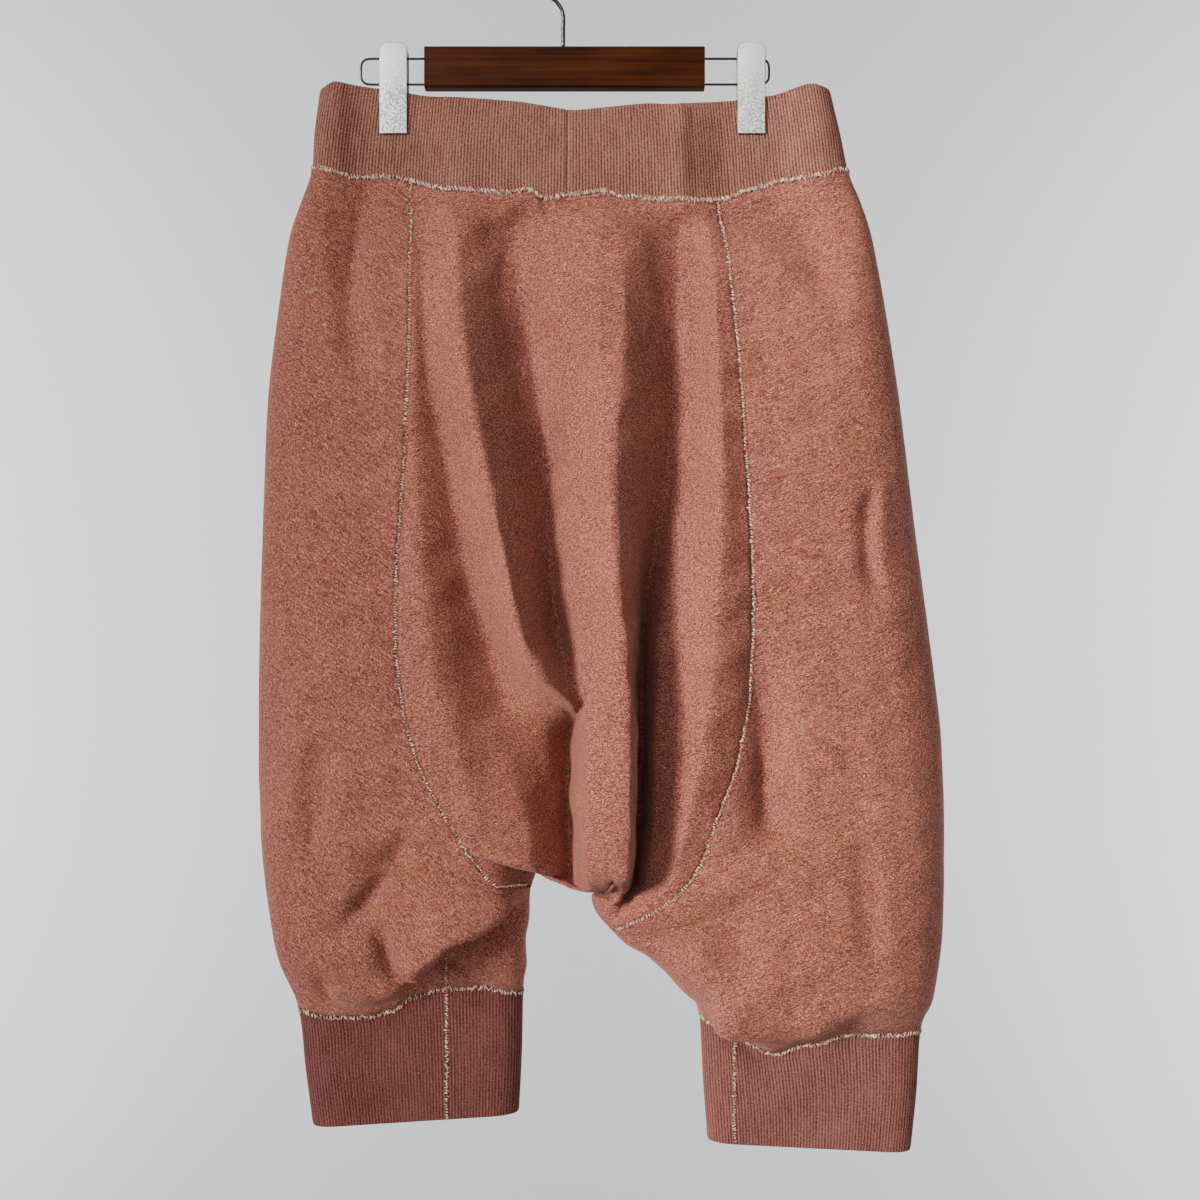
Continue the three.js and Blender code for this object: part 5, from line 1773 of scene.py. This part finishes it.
@dataclass(frozen=True)
class Seams:
    """The cream stitching over every join.

    Attributes:
        form: The cloth's outer face.
        panels: The cloth panels, already built.
        thread: The stitches' finish.
        gusset_stitch: The stitches down the gusset's seams.
        inseam_stitch: The stitches down an inner leg.
        inseam_depth: How far these are set into the cloth.
        inseam_rows: Points along an inner leg.
        samples: Points across each of them, to find the seam's place.
    """

    form: PantsForm
    panels: ClothPanels
    thread: Thread = Thread()
    gusset_stitch: CrossStitch = CrossStitch(2.3)
    inseam_stitch: CrossStitch = CrossStitch(2.2)
    inseam_depth: float = 0.9
    inseam_rows: int = 60
    samples: int = 400

    def gusset(self, half: Half) -> bpy.types.Object:
        """Stitches down the gusset's seam, front and back.

        Args:
            half: The garment's half.

        Returns:
            The piece.
        """
        stitches = Stitching(5 if half is Half.LEFT else 6)
        for layer in Layer:
            points, normals = self.panels.seam_lines[half, layer]
            stitches.along_line(points, normals, self.gusset_stitch)
        return stitches.build(f"gusset_seam_{half.value}", self.thread)

    def band(self, band: RibBand, pitch: float, seed: int) -> bpy.types.Object:
        """Loops all round a ribbed band's join.

        Args:
            band: The band.
            pitch: From loop to loop, in millimetres.
            seed: For their unevenness.

        Returns:
            The piece.
        """
        stitches = Stitching(seed)
        stitches.round_band(band, JoinLoop(pitch))
        return stitches.build(f"{band.name}_seam", self.thread)

    def inseam(self, half: Half, x: float, start: float, seed: int) -> bpy.types.Object:
        """Stitches down the inner leg where it has turned to the front, and on through the cuff.

        Args:
            half: The garment's half.
            x: Where the seam runs down.
            start: The row where it comes out of the folds.
            seed: For the stitches' unevenness.

        Returns:
            The piece.
        """
        t = np.linspace(start, HEM_ROW - 0.05, self.inseam_rows)
        share = np.broadcast_to(np.linspace(0.02, 0.98, self.samples), (len(t), self.samples))
        line = []
        for row in self.form.points(half, Layer.FRONT, t, share):
            order = np.argsort(row[:, 0])
            line.append([np.interp(x, row[order, 0], row[order, k]) for k in range(3)])
        line = np.array(line)
        normals = np.tile(np.array([0.0, -1.0, 0.0]), (len(line), 1))
        stitches = Stitching(seed)
        stitches.along_line(line - normals * self.inseam_depth, normals, self.inseam_stitch)
        return stitches.build(f"inseam_{half.value}", self.thread)


@dataclass(frozen=True)
class Hanger:
    """The clip hanger's parts, in their CAD form with the edges rounded off.

    Attributes:
        wood: The bar's finish.
        chrome: The wires' finish.
        steel: The clips' finish.
        bar_edge: How far the bar's edges are rounded, in millimetres.
        clip_edge: How far the clips' edges are.
        sharp: The angle in degrees from which an edge is rounded.
        steps: Flats that make up a rounding.
        weld: How close corners are that are joined first, in millimetres.
    """

    wood: DarkWood = DarkWood()
    # The chrome's darker undersides and edges, and the steel's dark edges, are painted shade.
    chrome: BrightMetal = BrightMetal((0.26, 0.26, 0.26), (0.10, 0.10, 0.10), 0.10, 0.10, 0.22, 0.3)
    steel: BrightMetal = BrightMetal(
        (1.00, 1.00, 0.97), (0.24, 0.265, 0.22), 1.0, 0.02, 0.34, 0.9, metal=0.6, worn_from=-0.115
    )
    bar_edge: float = 1.2
    clip_edge: float = 1.4
    sharp: float = 25.0
    steps: int = 3
    weld: float = 0.01

    def _copy(self, name: str, material: bpy.types.Material) -> bpy.types.Object:
        """Stands a smooth copy in one CAD node's place.

        Args:
            name: The node.
            material: Its finish.

        Returns:
            The copy, its corners joined.
        """
        node = bpy.data.objects[name]
        data = node.data.copy()
        data.transform(node.matrix_world)
        data.polygons.foreach_set("use_smooth", [True] * len(data.polygons))
        piece = bpy.data.objects.new(f"{name}_form", data)
        bpy.context.scene.collection.objects.link(piece)
        joined = piece.modifiers.new("joined", "WELD")
        joined.merge_threshold = self.weld * MM
        dress(piece, material)
        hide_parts(name)
        return piece

    def _edged(self, name: str, material: bpy.types.Material, radius: float) -> bpy.types.Object:
        """A copy of a CAD node with its edges rounded.

        Args:
            name: The node.
            material: Its finish.
            radius: How far its edges are rounded, in millimetres.

        Returns:
            The piece.
        """
        piece = self._copy(name, material)
        edge = piece.modifiers.new("edge", "BEVEL")
        edge.width = radius * MM
        edge.segments = self.steps
        edge.limit_method = "ANGLE"
        edge.angle_limit = math.radians(self.sharp)
        edge.harden_normals = True
        return piece

    def _wire(self, name: str, material: bpy.types.Material) -> bpy.types.Object:
        """A copy of a wire, rounder than the CAD node."""
        piece = self._copy(name, material)
        rounder = piece.modifiers.new("round", "SUBSURF")
        rounder.levels = rounder.render_levels = 1
        return piece

    def build(self) -> dict[str, bpy.types.Object]:
        """All of them, by the names of their CAD nodes."""
        wood = self.wood.material("bar_wood_finish")
        chrome = self.chrome.material("wire_chrome_finish")
        steel = self.steel.material("clip_steel_finish")
        pieces = {"hanger_bar": self._edged("hanger_bar", wood, self.bar_edge)}
        for name in ("hanger_hook", "hanger_loop_left", "hanger_loop_right"):
            pieces[name] = self._wire(name, chrome)
        for half in Half:
            for layer in Layer:
                name = f"clip_{half.value}_{layer.value}"
                pieces[name] = self._edged(name, steel, self.clip_edge)
        return pieces


@dataclass(frozen=True)
class Camera:
    """The camera, level with the middle of the picture, in millimetres.

    Attributes:
        x: Where it is across.
        z: How high it is.
        distance: How far in front of the garment.
        half_view: Half of what it sees across, at the garment.
        sensor: The width of its sensor.
    """

    x: float = 25.0
    z: float = -450.0
    distance: float = 1050.0
    half_view: float = 408.0
    sensor: float = 36.0

    def build(self) -> bpy.types.Object:
        """Makes it the scene's camera."""
        data = bpy.data.cameras.new("camera")
        data.sensor_width = self.sensor
        data.lens = self.sensor / 2 * self.distance / self.half_view
        data.clip_start = 0.01
        camera = bpy.data.objects.new("camera", data)
        camera.location = (self.x * MM, -self.distance * MM, self.z * MM)
        camera.rotation_euler = (math.pi / 2, 0, 0)
        bpy.context.scene.collection.objects.link(camera)
        bpy.context.scene.camera = camera
        return camera


@dataclass(frozen=True)
class SoftLight:
    """One large soft light.

    Attributes:
        name: Its name.
        place: Where it is, in metres.
        aim: The point that it faces, in metres.
        wide: Its width, in metres.
        tall: Its height, in metres.
        power: In watts.
        spread: The angle that a grid on its front lets through, in degrees.
        colour: Its colour.
    """

    name: str
    place: Place
    aim: Place
    wide: float
    tall: float
    power: float
    spread: float = 180.0
    colour: Colour = (1.0, 1.0, 1.0)

    def build(self) -> None:
        """Adds it to the scene."""
        data = bpy.data.lights.new(self.name, "AREA")
        data.shape = "RECTANGLE"
        data.size = self.wide
        data.size_y = self.tall
        data.spread = math.radians(self.spread)
        data.energy = self.power
        data.color = self.colour
        light = bpy.data.objects.new(self.name, data)
        light.location = self.place
        way = Vector(self.place) - Vector(self.aim)
        light.rotation_euler = way.to_track_quat("Z", "Y").to_euler()
        bpy.context.scene.collection.objects.link(light)


@dataclass(frozen=True)
class Studio:
    """A pale floor that sweeps up into a wall, and soft light.

    Attributes:
        floor_z: Height of the floor, in millimetres.
        floor_y: Its front edge.
        wall_y: Where the wall is.
        wall_top: Height of its top.
        bend: Radius of the curve between them.
        width: Width of both.
        paint: Their finish.
        lights: The low light from the left, the faint one in front, and two that wash the wall.
        air_colour: The even light from all round.
        air_strength: How strong it is.
    """

    floor_z: float = -1450.0
    floor_y: float = -3500.0
    wall_y: float = 1700.0
    wall_top: float = 2600.0
    bend: float = 600.0
    width: float = 6000.0
    paint: PalePaint = PalePaint()
    lights: tuple[SoftLight, ...] = (
        SoftLight(
            "key", (-1.9, -1.9, 0.3), (0.53, 0.0, -0.45), 0.6, 2.2, 13.2, 24.0, (1.0, 0.985, 0.965)
        ),
        SoftLight(
            "front", (-0.9, -2.8, 0.3), (0.02, 0.0, -0.45), 2.0, 2.0, 20.0, 180.0, (0.98, 0.99, 1.0)
        ),
        SoftLight("wall_wash_left", (-1.7, 0.5, -0.45), (-1.445, 1.7, -0.45), 1.2, 2.4, 57.0),
        SoftLight("wall_wash_right", (1.7, 0.5, -0.45), (1.445, 1.7, -0.45), 1.2, 2.4, 55.0),
    )
    air_colour: Colour = (0.95, 0.97, 1.0)
    air_strength: float = 0.50

    def sweep(self) -> bpy.types.Object:
        """Floor, curve and wall in one sheet."""
        profile = [(self.floor_y, self.floor_z)]
        for a in np.linspace(0, np.pi / 2, 17):
            y = self.wall_y - self.bend * (1 - math.sin(a))
            profile.append((y, self.floor_z + self.bend * (1 - math.cos(a))))
        profile.append((self.wall_y, self.wall_top))
        points = np.array([(x, y, z) for y, z in profile for x in (-self.width / 2, self.width / 2)])
        faces = [(2 * i, 2 * i + 1, 2 * i + 3, 2 * i + 2) for i in range(len(profile) - 1)]
        sheet = MeshMaker.make("studio_sweep", points, faces)
        sheet.data.materials.append(self.paint.material("studio_paint"))
        return sheet

    def build(self) -> None:
        """Makes the sweep, the lights and the even light from all round."""
        self.sweep()
        for light in self.lights:
            light.build()
        world = bpy.data.worlds.new("studio_air")
        world.use_nodes = True
        background = world.node_tree.nodes["Background"]
        background.inputs["Color"].default_value = (*self.air_colour, 1.0)
        background.inputs["Strength"].default_value = self.air_strength
        bpy.context.scene.world = world


def main() -> None:
    """Builds the part, piece by piece, then its studio."""
    logging.basicConfig(level=logging.INFO, format="%(message)s")
    Camera().build()
    form = PantsForm()
    panels = ClothPanels(form)
    pieces = {
        "leg_left": panels.leg(Half.LEFT, SweatCloth(-38.0)),
        "leg_right": panels.leg(Half.RIGHT, SweatCloth(22.0)),
        "gusset": panels.gusset(SweatCloth(12.0)),
    }

    waist, cuff = (BUILD.waist_ribs, BUILD.band_wall), (BUILD.cuff_ribs, BUILD.cuff_wall)
    waistband = RibBand(form, "waistband", (Half.LEFT, Half.RIGHT), 0, WAIST_ROW, *waist)
    cuff_left = RibBand(form, "cuff_left", (Half.LEFT,), HEM_ROW, CUFF_ROW, *cuff)
    cuff_right = RibBand(form, "cuff_right", (Half.RIGHT,), HEM_ROW, CUFF_ROW, *cuff)
    # The left cuff's rib knit is a darker copy: painted shade for the dimmer left side.
    left_cuff_painted_shade_rib = RibKnit((0.050, 0.012, 0.010), (0.206, 0.070, 0.060), (0.40, 0.20, 0.17))
    cuff_rib = RibKnit((0.060, 0.016, 0.012), (0.250, 0.096, 0.076), (0.50, 0.30, 0.25))
    pieces["waistband"] = waistband.build(RibKnit())
    pieces["cuff_left"] = cuff_left.build(left_cuff_painted_shade_rib)
    pieces["cuff_right"] = cuff_right.build(cuff_rib)

    seams = Seams(form, panels)
    for half in Half:
        pieces[f"gusset_seam_{half.value}"] = seams.gusset(half)
    pieces["waist_seam"] = seams.band(waistband, 1.3, 11)
    pieces["cuff_left_seam"] = seams.band(cuff_left, 1.7, 12)
    pieces["cuff_right_seam"] = seams.band(cuff_right, 1.7, 13)
    pieces["inseam_left"] = seams.inseam(Half.LEFT, -78.0, 15.9, 14)
    pieces["inseam_right"] = seams.inseam(Half.RIGHT, 115.5, 16.6, 15)
    pieces.update(Hanger().build())
    for name, piece in pieces.items():
        log.info("%s: %d faces", name, len(piece.data.polygons))
    Studio().build()


if __name__ == "__main__":
    main()
